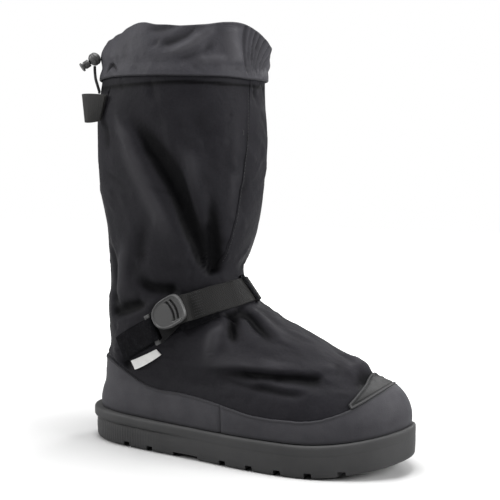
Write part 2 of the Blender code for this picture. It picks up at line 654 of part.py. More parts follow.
def make_strap(material, place):
    """The webbing strap: out of the buckle, round the front of the ankle, to its seam by the inner heel."""
    degrees = STRAP_ROUTE["degrees"]
    angles = np.linspace(degrees[0], degrees[-1], STRAP_STATIONS)
    over_backing = BACKING_THICKNESS + STRAP_GAP + STRAP_CLEARANCE
    beyond = 1 - smooth_step(*STRAP_SETTLES, angles)
    rings = band(STRAP_ROUTE, STRAP_STATIONS, STRAP_WIDTH, STRAP_THICKNESS, over_backing * beyond)
    held = []
    floor = BASE_PLATE + FIT_GAP
    for x in STRAP_HELD_SHARES:
        corners = [(-1, 0.0), (1, 0.0), (1, STRAP_THICKNESS), (-1, STRAP_THICKNESS)]
        ring = [(x * LEVER_LENGTH, side * STRAP_WIDTH / 2, floor + z) for side, z in corners]
        held.append([place @ Vector(corner) for corner in ring])
    away = np.linalg.norm(rings[0][:2] - np.array(held[-1][0]), axis=1)
    if away[0] > away[1]:
        rings = rings[:, [1, 0, 3, 2]]
    return loft("ankle_strap", np.concatenate([np.array(held), rings]), material)


def make_backing(material):
    """The hook-and-loop patch sewn behind the buckle, from the heel towards the front."""
    rings = band(BACKING_ROUTE, BACKING_STATIONS, BACKING_WIDTH, BACKING_THICKNESS, 0.0)
    return loft("strap_backing", rings, material)


def plate(name, outline, low, high, material, place):
    rings = [[(x, y, z) for x, y in outline] for z in (low, high)]
    made = loft(name, rings, material)
    made.matrix_world = place
    return made


def lever_outline(length, width, points=28):
    """Shield shape of the lever: round towards the heel, blunt and slightly bowed towards the strap."""
    outline = []
    for n in range(points):
        angle = 2 * math.pi * n / points
        c, s = math.cos(angle), math.sin(angle)
        power = 0.62 if c > 0 else 1.0
        x = math.copysign(abs(c) ** power, c) * length / 2
        y = math.copysign(abs(s) ** 0.78, s) * width / 2
        outline.append((x, y))
    return outline


def make_buckle(material, place, bar):
    """The cam buckle: a base with a bar for the backing, and the lever that clamps the strap on it."""
    turn = math.radians(BASE_TURN)
    half_width = BASE_WIDTH / 2

    def from_bar(x, y):
        c, s = math.cos(turn), math.sin(turn)
        return bar[0] + x * c - y * s, bar[1] + x * s + y * c

    front = LEVER_LENGTH * 0.36
    outline = [
        from_bar(-BAR_THICKNESS, -half_width),
        from_bar(BASE_FRAME_LENGTH - BAR_THICKNESS, -half_width),
        (front, -BASE_NARROW / 2),
        (front, BASE_NARROW / 2),
        from_bar(BASE_FRAME_LENGTH - BAR_THICKNESS, half_width),
        from_bar(-BAR_THICKNESS, half_width),
    ]
    base = plate("buckle_base", outline, 0.0, BASE_PLATE, material, place)
    slot_low = (BAR_THICKNESS / 2, -half_width + BAR_THICKNESS, -BASE_PLATE)
    slot_high = (BASE_FRAME_LENGTH - 2 * BAR_THICKNESS, half_width - BAR_THICKNESS, 2 * BASE_PLATE)
    slot = box("bar_slot", slot_low, slot_high)
    slot.matrix_world = place @ Matrix.Translation((*bar, 0.0)) @ Matrix.Rotation(turn, 4, "Z")
    cut(base, slot)
    floor = BASE_PLATE + CLAMP_SPACE
    rings = []
    # share of the lever's thickness, and how far its outline is drawn in there
    for height, inset in ((0.0, 0.0012), (0.35, 0.0), (0.75, 0.0006), (1.0, 0.0026)):
        shape = lever_outline(LEVER_LENGTH - 2 * inset, LEVER_WIDTH - 2 * inset)
        rings.append([(x, y, floor + height * LEVER_THICKNESS) for x, y in shape])
    lever = loft("buckle_lever", rings, material)
    lever.matrix_world = place
    for n, x in enumerate(LEVER_SLOTS):
        low = (x - LEVER_SLOT_WIDTH / 2, -LEVER_SLOT_LENGTH / 2, floor + LEVER_THICKNESS * LEVER_SLOT_FLOOR)
        high = (x + LEVER_SLOT_WIDTH / 2, LEVER_SLOT_LENGTH / 2, floor + LEVER_THICKNESS * 2)
        groove = box(f"lever_slot_{n}", low, high)
        groove.matrix_world = place
        cut(lever, groove)
    return base, lever


def make_label(material):
    """A blank woven tab under the backing's lower edge."""
    rings = []
    for angle in np.linspace(*LABEL_EDGES["degrees"], 6):
        edges = (np.interp(angle, LABEL_EDGES["degrees"], LABEL_EDGES[edge]) for edge in ("top", "bottom"))
        top, bottom = edges
        low = [grid_at(row, angle, STRAP_GAP) for row in (bottom, (top + bottom) / 2, top)]
        high = [grid_at(row, angle, STRAP_GAP + LABEL_THICKNESS) for row in (bottom, (top + bottom) / 2, top)]
        rings.append(low + high[::-1])
    return loft("label_tab", rings, material)


def make_pull_loop(material):
    """A folded strip of webbing that comes out of a slit at the back of the shaft and stands out behind it."""
    lines = []
    for side, degrees in ((-1, SLIT_BOTTOM_DEGREES), (1, SLIT_TOP_DEGREES)):
        z = LOOP_HEIGHT + side * LOOP_WEB_WIDTH / 2
        rows = np.linspace(20.0, HEM_ROW, 300)
        row = float(np.interp(z, grid_at(rows, degrees, 0.0)[:, 2], rows))
        slit = grid_at(row, degrees, 0.0)
        slit[2] = z
        lines.append(slit)
    middle = (lines[0] + lines[1]) / 2
    tip = middle + np.array([-LOOP_REACH, 0.0, 0.0])
    near = LOOP_STAND + LOOP_WEB_THICKNESS / 2
    far = near + LOOP_WEB_THICKNESS + 2 * FIT_GAP
    share = np.array([step[0] for step in LOOP_SHAPE])
    aside_by = np.array([near + step[1] * LOOP_SWELL for step in LOOP_SHAPE])
    aside_by[-1] = far
    paths = []
    for slit in lines:
        way = np.array([tip[0], tip[1], slit[2]]) - slit
        aside = np.array([way[1], -way[0], 0.0]) / np.linalg.norm(way)
        aside *= -1 if aside[1] > 0 else 1
        paths.append(slit + way * share[:, None] + aside * aside_by[:, None])
    paths = [paths[0], (paths[0] + paths[1]) / 2, paths[1]]
    sides = []
    for path in paths:
        ahead = np.gradient(path, axis=0)
        out = np.stack([-ahead[:, 1], ahead[:, 0], np.zeros(len(path))], axis=1)
        out *= LOOP_WEB_THICKNESS / 2 / np.linalg.norm(out, axis=1, keepdims=True)
        sides.append((path - out, path + out))
    rings = np.stack([side[0] for side in sides] + [side[1] for side in sides[::-1]], axis=1)
    return loft("pull_loop", rings, material, strips=True)


def tube(name, points, diameter, material):
    """A round cord along a smooth curve through a few points."""
    points = np.array(points, float)
    marks = np.arange(len(points))
    run = np.linalg.norm(np.diff(points, axis=0), axis=1).sum()
    count = max(4, int(round(run / (2.0 * diameter))) + 1)
    at = np.linspace(0, len(points) - 1, count)
    route = np.stack([hermite(marks, points[:, k], at) for k in range(3)], axis=1)
    curve = bpy.data.curves.new(name, "CURVE")
    curve.dimensions = "3D"
    curve.bevel_depth = diameter / 2
    curve.bevel_resolution = 2
    curve.use_fill_caps = True
    line = curve.splines.new("POLY")
    line.points.add(count - 1)
    for point, place in zip(line.points, route):
        point.co = (*place, 1.0)
    made = bpy.data.objects.new(name, curve)
    made.data.materials.append(material)
    bpy.context.scene.collection.objects.link(made)
    return made


def turned(name, profile, place, material, sides=16):
    """A round piece turned from a profile of heights and radii, along its own Z."""
    rings = []
    for height, radius in profile:
        angles = [2 * math.pi * n / sides for n in range(sides)]
        rings.append([(radius * math.cos(a), radius * math.sin(a), height) for a in angles])
    made = loft(name, rings, material)
    made.matrix_world = place
    return made


def along_axis(start, direction):
    return Matrix.Translation(Vector(start)) @ Vector(direction).to_track_quat("Z", "Y").to_matrix().to_4x4()


def make_cord_lock(plastic, cord):
    """The spring lock behind the collar, with the drawcord that runs through it from the shaft."""
    row = collar_row_at(LOCK_HEIGHT, LOCK_DEGREES)
    normal = form_normals(np.array([row]), np.array([LOCK_DEGREES]))[0]
    out = normal * (1, 1, 0) / np.linalg.norm(normal[:2])
    skin = form(np.array([row]), np.array([LOCK_DEGREES]))[0]
    centre = skin + normal * (COLLAR_GAP + 0.3 * COLLAR_HEM_STEP + COLLAR_WALL + LOCK_RADIUS + FIT_GAP)
    height = LOCK_RADIUS * 0.92
    profile = []
    for n in range(9):
        angle = math.pi * (0.06 + 0.88 * n / 8)
        profile.append((-height * math.cos(angle), LOCK_RADIUS * math.sin(angle)))
    slant = Vector((out[0] * LOCK_SLANT[0], out[1] * LOCK_SLANT[0], LOCK_SLANT[1])).normalized()
    turned("cord_lock_body", profile, along_axis(centre, slant), plastic)
    stem = centre + np.array(slant) * (height + FIT_GAP)
    shape = (
        (0.0, PLUNGER_RADIUS * 0.86),
        (PLUNGER_LENGTH * 0.58, PLUNGER_RADIUS * 0.86),
        (PLUNGER_LENGTH * 0.66, PLUNGER_RADIUS * 0.66),
        (PLUNGER_LENGTH * 0.74, PLUNGER_RADIUS * 0.66),
        (PLUNGER_LENGTH * 0.80, PLUNGER_RADIUS),
        (PLUNGER_LENGTH, PLUNGER_RADIUS * 0.92),
    )
    turned("cord_lock_plunger", shape, along_axis(stem, slant), plastic, sides=12)
    beside = np.array([-out[1], out[0], 0.0])
    shaft_row = collar_row_at(HEM_HEIGHT - CORD_DROP, LOCK_DEGREES)
    foot = form(np.array([shaft_row]), np.array([LOCK_DEGREES]))[0]
    foot = foot + out * (CORD_DIAMETER / 2 + 3 * FIT_GAP)
    head = centre - np.array([0.0, 0.0, LOCK_RADIUS + FIT_GAP])
    knee = (head + foot) / 2 + out * CORD_SLACK
    half = beside * CORD_SPREAD / 2
    route = (
        head - half,
        knee - half,
        foot - half,
        foot - np.array([0.0, 0.0, CORD_SPREAD * CORD_BIGHT]),
        foot + half,
        knee + half,
        head + half,
    )
    return tube("drawcord", route, CORD_DIAMETER, cord)


def build():
    clear_scene()
    nylon = make_material("nylon", (0.022, 0.022, 0.024), 0.72)
    collar_nylon = make_material("collar_nylon", (0.060, 0.060, 0.065), 0.62)
    coated = make_material("coated_fabric", (0.052, 0.052, 0.055), 0.58)
    bumper = make_material("bumper", (0.075, 0.075, 0.078), 0.62)
    rubber = make_material("sole_rubber", (0.050, 0.050, 0.051), 0.66)
    webbing = make_material("webbing", (0.040, 0.038, 0.037), 0.75)
    hook_loop = make_material("hook_and_loop", (0.010, 0.010, 0.012), 0.92)
    plastic = make_material("buckle_plastic", (0.075, 0.075, 0.075), 0.45)
    label = make_material("label_cloth", (0.80, 0.80, 0.78), 0.75)
    cord = make_material("elastic_cord", (0.012, 0.012, 0.013), 0.70)
    foam = make_material("insole_foam", (0.030, 0.030, 0.032), 0.85)
    make_outsole(rubber)
    make_insole(foam)
    make_upper(nylon)
    make_rand(coated)
    make_toe_cap(bumper)
    make_front_flap(nylon)
    make_collar(collar_nylon)
    place, bar = buckle_frame()
    make_strap(webbing, place)
    make_backing(hook_loop)
    make_buckle(plastic, place, bar)
    make_label(label)
    make_pull_loop(webbing)
    make_cord_lock(plastic, cord)


build()
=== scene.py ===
# The looks of a winter overshoe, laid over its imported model.
# Metres, +Z up, toe towards +X, outer side towards -Y, as in the part's own source.
import math

import bpy
import numpy as np
from mathutils import Matrix, Vector


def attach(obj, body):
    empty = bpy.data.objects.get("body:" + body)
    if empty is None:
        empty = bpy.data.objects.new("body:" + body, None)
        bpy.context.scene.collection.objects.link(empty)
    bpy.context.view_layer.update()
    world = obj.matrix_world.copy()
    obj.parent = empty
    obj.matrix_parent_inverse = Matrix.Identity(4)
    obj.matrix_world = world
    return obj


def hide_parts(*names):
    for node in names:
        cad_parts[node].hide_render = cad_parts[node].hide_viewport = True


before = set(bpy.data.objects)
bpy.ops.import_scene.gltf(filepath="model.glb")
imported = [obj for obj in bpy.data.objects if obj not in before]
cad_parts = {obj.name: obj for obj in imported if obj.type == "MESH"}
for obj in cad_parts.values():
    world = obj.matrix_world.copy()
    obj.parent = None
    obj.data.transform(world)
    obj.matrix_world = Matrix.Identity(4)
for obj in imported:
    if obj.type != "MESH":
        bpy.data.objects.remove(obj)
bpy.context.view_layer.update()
print("overshoe: frame loaded with", len(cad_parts), "nodes")


# Camera, light and floor

camera = {"place": (0.48043, -0.79139, 0.25908), "azimuth": 26.1, "elevation": 4.9, "lens": 70.794}
lights = {
    # name: place, aimed at, size, watts, colour
    "left": ((-1.25, -0.78, 0.80), (0.06, 0.0, 0.20), 0.70, 25.0, (1.0, 1.0, 1.0)),
    "right": ((1.45, 0.00, 0.70), (0.08, 0.0, 0.18), 0.70, 29.0, (1.0, 1.0, 1.0)),
    "top": ((0.12, -0.10, 1.60), (0.10, 0.0, 0.10), 0.90, 46.0, (1.0, 1.0, 1.0)),
    "back": ((0.35, 1.25, 1.05), (0.10, 0.0, 0.20), 0.60, 14.0, (1.0, 1.0, 1.0)),
}
room = {
    "ambient": 0.10, "behind": 1.0, "floorSize": 6.0, "floorColour": (0.42, 0.42, 0.42),
    "glowFrom": 0.02, "glowTo": 0.45, "footprint": ((0.088, 0.0), (0.145, 0.045)),
}


def addObject(name, data):
    made = bpy.data.objects.new(name, data)
    bpy.context.scene.collection.objects.link(made)
    return made


def makeCamera():
    a, e = math.radians(camera["azimuth"]), math.radians(camera["elevation"])
    right = Vector((math.cos(a), math.sin(a), 0.0))
    back = Vector((math.sin(a) * math.cos(e), -math.cos(a) * math.cos(e), math.sin(e)))
    up = back.cross(right)
    made = addObject("camera", bpy.data.cameras.new("camera"))
    made.matrix_world = Matrix.Translation(camera["place"]) @ Matrix((right, up, back)).transposed().to_4x4()
    made.data.lens = camera["lens"]
    made.data.sensor_width = 36.0
    made.data.clip_start = 0.01
    bpy.context.scene.camera = made


def makeLights():
    bpy.context.scene.view_settings.view_transform = "Standard"
    for name, (place, target, size, watts, colour) in lights.items():
        lamp = bpy.data.lights.new(name, "AREA")
        lamp.shape, lamp.size = "SQUARE", size
        lamp.energy, lamp.color = watts, colour
        made = addObject(name, lamp)
        aim = (Vector(target) - Vector(place)).to_track_quat("-Z", "Y")
        made.matrix_world = Matrix.Translation(place) @ aim.to_matrix().to_4x4()
    world = bpy.data.worlds.new("studio")
    world.use_nodes = True
    bpy.context.scene.world = world
    tree = world.node_tree
    background = tree.nodes["Background"]
    background.inputs["Color"].default_value = (1.0, 1.0, 1.0, 1.0)
    # the room looks white, but gives the shoe less light than it shows
    seen = tree.nodes.new("ShaderNodeLightPath")
    mix = tree.nodes.new("ShaderNodeMix")
    mix.inputs[2].default_value, mix.inputs[3].default_value = room["ambient"], room["behind"]
    tree.links.new(seen.outputs["Is Camera Ray"], mix.inputs[0])
    tree.links.new(mix.outputs[0], background.inputs["Strength"])


# Shader maths


def plug(tree, source, socket):
    if isinstance(source, Wire):
        tree.links.new(source.socket, socket)
    elif source is not None:
        socket.default_value = source


class Wire:
    # one output of a shader node, which adds up and multiplies as a number does
    def __init__(self, tree, socket):
        self.tree, self.socket = tree, socket

    def maths(self, operation, *values):
        node = self.tree.nodes.new("ShaderNodeMath")
        node.operation = operation
        for value, socket in zip(values, node.inputs):
            plug(self.tree, value, socket)
        return Wire(self.tree, node.outputs[0])

    def __add__(self, other):
        return self.maths("ADD", self, other)

    def __sub__(self, other):
        return self.maths("SUBTRACT", self, other)

    def __mul__(self, other):
        return self.maths("MULTIPLY", self, other)

    def __pow__(self, other):
        return self.maths("POWER", self, other)

    __radd__ = __add__
    __rmul__ = __mul__

    def waves(self, length):
        # a sine wave over the wire's own measure
        return self.maths("SINE", self * (2 * math.pi / length))

    def size(self):
        return self.maths("ABSOLUTE", self)

    def atLeast(self, low):
        return self.maths("MAXIMUM", self, low)

    def ramp(self, low, high):
        # 0 below low, 1 above high, and smooth between them
        node = self.tree.nodes.new("ShaderNodeMapRange")
        node.interpolation_type = "SMOOTHSTEP"
        plug(self.tree, self, node.inputs["Value"])
        node.inputs["From Min"].default_value, node.inputs["From Max"].default_value = low, high
        return Wire(self.tree, node.outputs["Result"])


class Finish:
    # one material: its tree, its main shader and the nodes that feed it
    def __init__(self, name, roughness=0.6, specular=0.3, **fixed):
        self.material = bpy.data.materials.new(name)
        self.material.use_nodes = True
        self.tree = self.material.node_tree
        self.shader = self.tree.nodes["Principled BSDF"]
        self.set("Roughness", roughness)
        self.set("Specular IOR Level", specular)
        for socket, value in fixed.items():
            self.set(socket.replace("_", " "), value)

    def set(self, socket, value):
        if isinstance(value, tuple) and len(value) == 3 and socket == "Base Color":
            value = (*value, 1.0)
        plug(self.tree, value, self.shader.inputs[socket])

    def node(self, kind, settings=None, sockets=None, out=0):
        node = self.tree.nodes.new(kind)
        for name, value in (settings or {}).items():
            setattr(node, name, value)
        for name, value in (sockets or {}).items():
            plug(self.tree, value, node.inputs[name])
        return Wire(self.tree, node.outputs[out])

    def place(self):
        return self.node("ShaderNodeTexCoord", out="Object")

    def cloth(self, along="U"):
        # the piece's own UV map, which is in metres over its surface
        split = self.node("ShaderNodeSeparateXYZ", sockets={0: self.node("ShaderNodeUVMap")})
        return Wire(self.tree, split.socket.node.outputs["X" if along == "U" else "Y"])

    def noise(self, size, detail=3.0, rough=0.5, where=None):
        sockets = {"Vector": where or self.place(), "Scale": 1.0 / size, "Detail": detail,
            "Roughness": rough}
        return self.node("ShaderNodeTexNoise", sockets=sockets)

    def blend(self, share, first, second):
        first, second = ((*c, 1.0) if isinstance(c, tuple) else c for c in (first, second))
        return self.node("ShaderNodeMix", {"data_type": "RGBA"}, {0: share, 6: first, 7: second}, out=2)

    def attribute(self, name):
        return self.node("ShaderNodeAttribute", {"attribute_name": name}, out="Fac")

    def bump(self, height, depth, under=None):
        sockets = {"Height": height, "Distance": depth, "Strength": 1.0, "Normal": under}
        return self.node("ShaderNodeBump", sockets=sockets)

    def weave(self, thread):
        # over and under: the product of two waves, each two threads long
        return self.cloth("U").waves(2 * thread) * self.cloth("V").waves(2 * thread)

    def paint(self, share, first, second):
        self.set("Base Color", self.blend(share, first, second))

    def relief(self, height, depth, under=None):
        self.set("Normal", self.bump(height, depth, under))


# Finishes. Colours are linear, and depths and sizes are in metres.

# low is painted shade down in the folds, high a painted highlight on their ridges
nylonLook = {
    "colour": (0.0088, 0.0085, 0.0103), "light": (0.0125, 0.0121, 0.0142),
    "low": (0.0014, 0.0014, 0.0018), "high": (0.0240, 0.0234, 0.0262), "rough": 0.60, "gloss": 0.05,
    "thread": 0.00042, "weave": 0.00004, "worn": 0.030, "fine": 0.0016, "crumple": 0.011,
    "crumpleDepth": 0.0009,
}
collarLook = {
    **nylonLook, "colour": (0.0240, 0.0234, 0.0275), "light": (0.0310, 0.0302, 0.0350),
    "low": (0.012, 0.0117, 0.0137), "high": (0.044, 0.043, 0.048), "gloss": 0.12,
    "thread": 0.00036, "weave": 0.00003,
}


def makeNylon(name, look):
    # woven cloth, with a painted highlight where its folds stand up and painted shade down in them
    finish = Finish(name, look["rough"], look["gloss"])
    worn = finish.noise(look["worn"], 4.0, 0.6)
    fine = finish.noise(look["fine"], 3.0, 0.6)
    tone = (worn * 0.6 + fine * 0.4).ramp(0.32, 0.68)
    paintedShading = finish.attribute("paintedShading")
    cloth = finish.blend(tone, look["colour"], look["light"])
    cloth = finish.blend((paintedShading * -1.0).ramp(0.0, 1.0), cloth, look["low"])
    finish.paint(paintedShading.ramp(0.0, 1.0), cloth, look["high"])
    finish.set("Roughness", look["rough"] - 0.09 + worn * 0.16)
    crumple = finish.bump(finish.noise(look["crumple"], 3.0, 0.55), look["crumpleDepth"])
    finish.relief(finish.weave(look["thread"]) * 0.5 + fine, look["weave"], crumple)
    return finish.material


# the rand's rim colour is a painted shadow along its edges and its foot; the bumper's is a paler rubbed rim
randLook = {
    "colour": (0.0240, 0.0234, 0.0270), "light": (0.0320, 0.0312, 0.0352), "scuff": (0.036, 0.035, 0.039),
    "rim": (0.009, 0.009, 0.010), "grain": 0.0010, "grainDepth": 0.00014, "cloud": 0.024,
    "wave": 0.013, "waveDepth": 0.0005,
}
bumperLook = {
    **randLook, "colour": (0.0175, 0.0175, 0.0178), "light": (0.0240, 0.0240, 0.0243),
    "scuff": (0.032, 0.032, 0.033), "rim": (0.046, 0.046, 0.047), "grain": 0.0013,
}


def makeCoated(name, look):
    # fabric under a rubber coat: a fine pebble, with paler rubbed places
    finish = Finish(name, 0.6, 0.15)
    cloud = finish.noise(look["cloud"], 4.0, 0.6)
    pebble = finish.noise(look["grain"], 3.0, 0.65)
    rubbed = (cloud * 0.5 + pebble * 0.5).ramp(0.56, 0.72)
    tone = finish.blend(cloud.ramp(0.3, 0.7), look["colour"], look["light"])
    worn = finish.blend(rubbed * 0.55, tone, look["scuff"])
    # the edge tint: painted shadow along the rand's edges and foot, a paler rubbed rim on the toe cap
    finish.paint(finish.attribute("edge") * (0.4 + cloud * 0.5), worn, look["rim"])
    finish.set("Roughness", 0.52 + pebble * 0.22)
    finish.relief(pebble, look["grainDepth"], finish.bump(finish.noise(look["wave"]), look["waveDepth"]))
    return finish.material


rubberLook = {
    "colour": (0.0300, 0.0300, 0.0305), "light": (0.0365, 0.0365, 0.0370), "dust": (0.062, 0.062, 0.062),
    "grain": 0.0009, "grainDepth": 0.00010, "cloud": 0.035, "rib": 0.0031, "ribDepth": 0.00012,
}


def makeRubber():
    # moulded rubber: a fine even grain, faint upright ribs, and paler rubbed edges
    finish, look = Finish("soleRubber", 0.62, 0.17), rubberLook
    grain = finish.noise(look["grain"], 3.0, 0.6)
    cloud = finish.noise(look["cloud"], 4.0, 0.6)
    ribs = finish.cloth("V").waves(look["rib"]) * finish.attribute("ribbed")
    edge = finish.attribute("edge") * cloud.ramp(0.25, 0.7)
    tone = finish.blend(cloud.ramp(0.3, 0.7), look["colour"], look["light"])
    finish.paint(edge * 0.7, tone, look["dust"])
    finish.set("Roughness", 0.54 + cloud * 0.18)
    finish.relief(grain, look["grainDepth"], finish.bump(ribs, look["ribDepth"]))
    return finish.material


webLook = {
    "colour": (0.0060, 0.0059, 0.0058), "light": (0.0145, 0.0142, 0.0140), "rib": 0.0011, "twill": 0.0019,
    "bone": 0.0062, "lean": 0.0016, "fluff": 0.0007, "depth": 0.00016,
}
loopLook = {**webLook, "colour": (0.0200, 0.0197, 0.0194), "light": (0.0340, 0.0336, 0.0332)}


def makeWebbing(name, look):
    # narrow woven tape: a herringbone that runs along it, with a fine yarn across
    finish = Finish(name, 0.70, 0.12)
    along, across = finish.cloth("U"), finish.cloth("V")
    twill = (along + across.waves(look["bone"]).size() * look["lean"]).waves(look["twill"])
    fluff = finish.noise(look["fluff"], 2.0, 0.7)
    height = twill * 0.5 + along.waves(look["rib"]) * 0.35 + fluff * 0.8
    finish.paint((height * 0.45 + 0.25).ramp(0.1, 0.9), look["colour"], look["light"])
    finish.relief(height, look["depth"])
    return finish.material


hookLook = {
    "colour": (0.0030, 0.0030, 0.0036), "tips": (0.013, 0.013, 0.015), "fur": 0.0011, "tuft": 0.0045,
    "depth": 0.0009,
}


def makeHookLoop():
    finish, look = Finish("hookAndLoop", 0.95, 0.05), hookLook
    fur, tufts = finish.noise(look["fur"], 5.0, 0.75), finish.noise(look["tuft"], 2.0, 0.6)
    finish.paint((fur * 0.7 + tufts * 0.3).ramp(0.46, 0.72), look["colour"], look["tips"])
    finish.relief(fur, look["depth"])
    return finish.material


plasticLook = {
    "colour": (0.036, 0.036, 0.036), "edge": (0.060, 0.060, 0.060), "slotShadeColour": (0.003, 0.003, 0.003),
    "gloss": 0.28, "spark": 0.0006, "sparkDepth": 0.00006, "cloud": 0.009,
}
frameLook = {**plasticLook, "colour": (0.005, 0.005, 0.0052), "edge": (0.085, 0.085, 0.085), "gloss": 0.05}


def makePlastic(name, look):
    # spark-eroded moulded plastic, paler along marked edges, a painted highlight on the lever's rim and the
    # frame bar's ends, and darker in the marked slots, which is painted shade
    finish = Finish(name, 0.44, look["gloss"])
    spark = finish.noise(look["spark"], 2.0, 0.6)
    cloud = finish.noise(look["cloud"], 3.0, 0.6)
    paleEdged = finish.blend(finish.attribute("edge") * (0.55 + cloud * 0.6), look["colour"], look["edge"])
    # painted shade down in the lever's slots
    finish.paint(finish.attribute("slotShade"), paleEdged, look["slotShadeColour"])
    finish.set("Roughness", 0.36 + spark * 0.2)
    finish.relief(spark, look["sparkDepth"])
    return finish.material


labelLook = {
    "colour": (0.50, 0.50, 0.49), "shade": (0.34, 0.34, 0.33), "thread": 0.0005, "weave": 0.00005,
    "soil": 0.006,
}


def makeLabelCloth():
    finish, look = Finish("labelCloth", 0.8, 0.2), labelLook
    soil = finish.noise(look["soil"], 3.0, 0.6).ramp(0.45, 0.75)
    finish.paint(soil * 0.35, look["colour"], look["shade"])
    finish.relief(finish.weave(look["thread"]), look["weave"])
    return finish.material


cordLook = {
    "colour": (0.0070, 0.0070, 0.0075), "light": (0.020, 0.020, 0.021), "strand": 0.0011, "depth": 0.00012,
}


def makeBraid():
    # strands that cross on a slant: the product of two waves
    finish, look = Finish("elasticCord", 0.72, 0.25), cordLook
    split = finish.node("ShaderNodeSeparateXYZ", sockets={0: finish.place()}).socket.node
    side, up = (Wire(finish.tree, split.outputs[name]) for name in "XZ")
    braid = (up + side).waves(look["strand"]) * (up - side).waves(look["strand"])
    finish.paint(braid.ramp(-0.4, 0.6), look["colour"], look["light"])
    finish.relief(braid, look["depth"])
    return finish.material


liningLook = {
    "colour": (0.014, 0.014, 0.0155), "light": (0.026, 0.026, 0.028), "ramp": (0.35, 0.70),
    "rough": 0.92, "gloss": 0.15, "detail": 4.0, "spread": 0.7, "tuft": 0.0016, "depth": 0.0006,
}
foamLook = {**liningLook, "tuft": 0.0009, "depth": 0.0002}
threadLook = {
    "colour": (0.010, 0.010, 0.011), "light": (0.015, 0.015, 0.0165), "ramp": (0.35, 0.65),
    "rough": 0.60, "gloss": 0.30, "detail": 2.0, "spread": 0.6, "tuft": 0.0004, "depth": 0.00008,
}


def makeTufted(name, look):
    # fleece, foam or thread: one noise both tints it and raises it
    finish = Finish(name, look["rough"], look["gloss"])
    tuft = finish.noise(look["tuft"], look["detail"], look["spread"])
    finish.paint(tuft.ramp(*look["ramp"]), look["colour"], look["light"])
    finish.relief(tuft, look["depth"])
    return finish.material


def makeFloor():
    # pale and lit by the lamps round the shoe, and glowing white further off, where the lamps don't reach:
    # the glow grows with the distance from the shoe's footprint
    finish = Finish("paleFloor", 0.75, 0.1, Emission_Strength=0.95)
    split = finish.node("ShaderNodeSeparateXYZ", sockets={0: finish.place()})
    aside = []
    for name, middle, half in zip("XY", *room["footprint"]):
        place = Wire(finish.tree, split.socket.node.outputs[name])
        aside.append(((place - middle).size() - half).atLeast(0.0))
    away = (aside[0] * aside[0] + aside[1] * aside[1]) ** 0.5
    glow = away.ramp(room["glowFrom"], room["glowTo"])
    finish.set("Emission Color", finish.blend(glow, (0.0, 0.0, 0.0), (1.0, 1.0, 1.0)))
    finish.set("Base Color", room["floorColour"])
    half = room["floorSize"] / 2
    mesh = bpy.data.meshes.new("floor")
    mesh.from_pydata([(-half, -half, 0), (half, -half, 0), (half, half, 0), (-half, half, 0)], [],
        [(0, 1, 2, 3)])
    mesh.materials.append(finish.material)
    addObject("floor", mesh)


makeCamera()
makeLights()
makeFloor()
finishes = {
    "nylon": makeNylon("nylonShell", nylonLook),
    "collar": makeNylon("collarNylon", collarLook),
    "coated": makeCoated("coatedFabric", randLook),
    "bumper": makeCoated("bumperGrain", bumperLook),
    "rubber": makeRubber(),
    "webbing": makeWebbing("webbing", webLook),
    "loopWeb": makeWebbing("loopWebbing", loopLook),
    "hookLoop": makeHookLoop(),
    "plastic": makePlastic("bucklePlastic", plasticLook),
    "frame": makePlastic("framePlastic", frameLook),
    "label": makeLabelCloth(),
    "cord": makeBraid(),
    "lining": makeTufted("fleeceLining", liningLook),
    "foam": makeTufted("insoleFoam", foamLook),
    "thread": makeTufted("darkThread", threadLook),
}
print("overshoe: camera, lights and", len(finishes), "finishes")


# The overshoe's form, from the same sections as the part's source

shoe = {
    "soleLength": 0.315, "ballWidth": 0.122, "soleHeight": 0.028, "toeSpring": 0.013, "springStart": 0.72,
    "heelRise": 0.0028, "heelRiseEnd": 0.50, "seatGap": 0.0007, "upperWall": 0.0014, "heelToOrigin": 0.068,
    "throatHeight": 0.150, "hemHeight": 0.337, "shaftDepth": 0.164, "shaftWidth": 0.122,
    "shaftSetback": 0.0076,
    "heelRound": 0.16, "toeRound": 0.31, "toeFullness": 2.25, "ovalFullness": 2.3, "springFadeRows": 6.0,
}
soleOutline = {
    "along": (0.00, 0.12, 0.25, 0.42, 0.55, 0.68, 0.80, 0.92, 1.00),
    "lateral": (0.66, 0.67, 0.76, 0.86, 0.96, 1.00, 0.97, 0.89, 0.83),
    "medial": (0.66, 0.66, 0.66, 0.71, 0.81, 0.94, 0.98, 0.93, 0.87),
}
footSections = {
    "backX": (0.022, 0.0225, 0.028, 0.0345, 0.0365, 0.037, 0.039, 0.041, 0.042, 0.047, 0.0525, 0.055, 0.055),
    "backZ": (0, 0.07, 0.14, 0.195, 0.242, 0.29, 0.328, 0.367, 0.406, 0.445, 0.484, 0.53, 0.586),
    "frontX": (0.985, 0.983, 0.968, 0.938, 0.895, 0.85, 0.794, 0.732, 0.67, 0.613, 0.572, 0.532, 0.501),
    "frontZ": (0, 0.12, 0.231, 0.335, 0.41, 0.502, 0.552, 0.634, 0.702, 0.764, 0.828, 0.89, 0.974),
    "half": (0.93, 0.935, 0.906, 0.86, 0.815, 0.785, 0.762, 0.746, 0.738, 0.73, 0.72, 0.703, 0.68),
    "oval": (0, 0, 0.02, 0.1, 0.2, 0.32, 0.45, 0.58, 0.7, 0.8, 0.88, 0.94, 1),
}
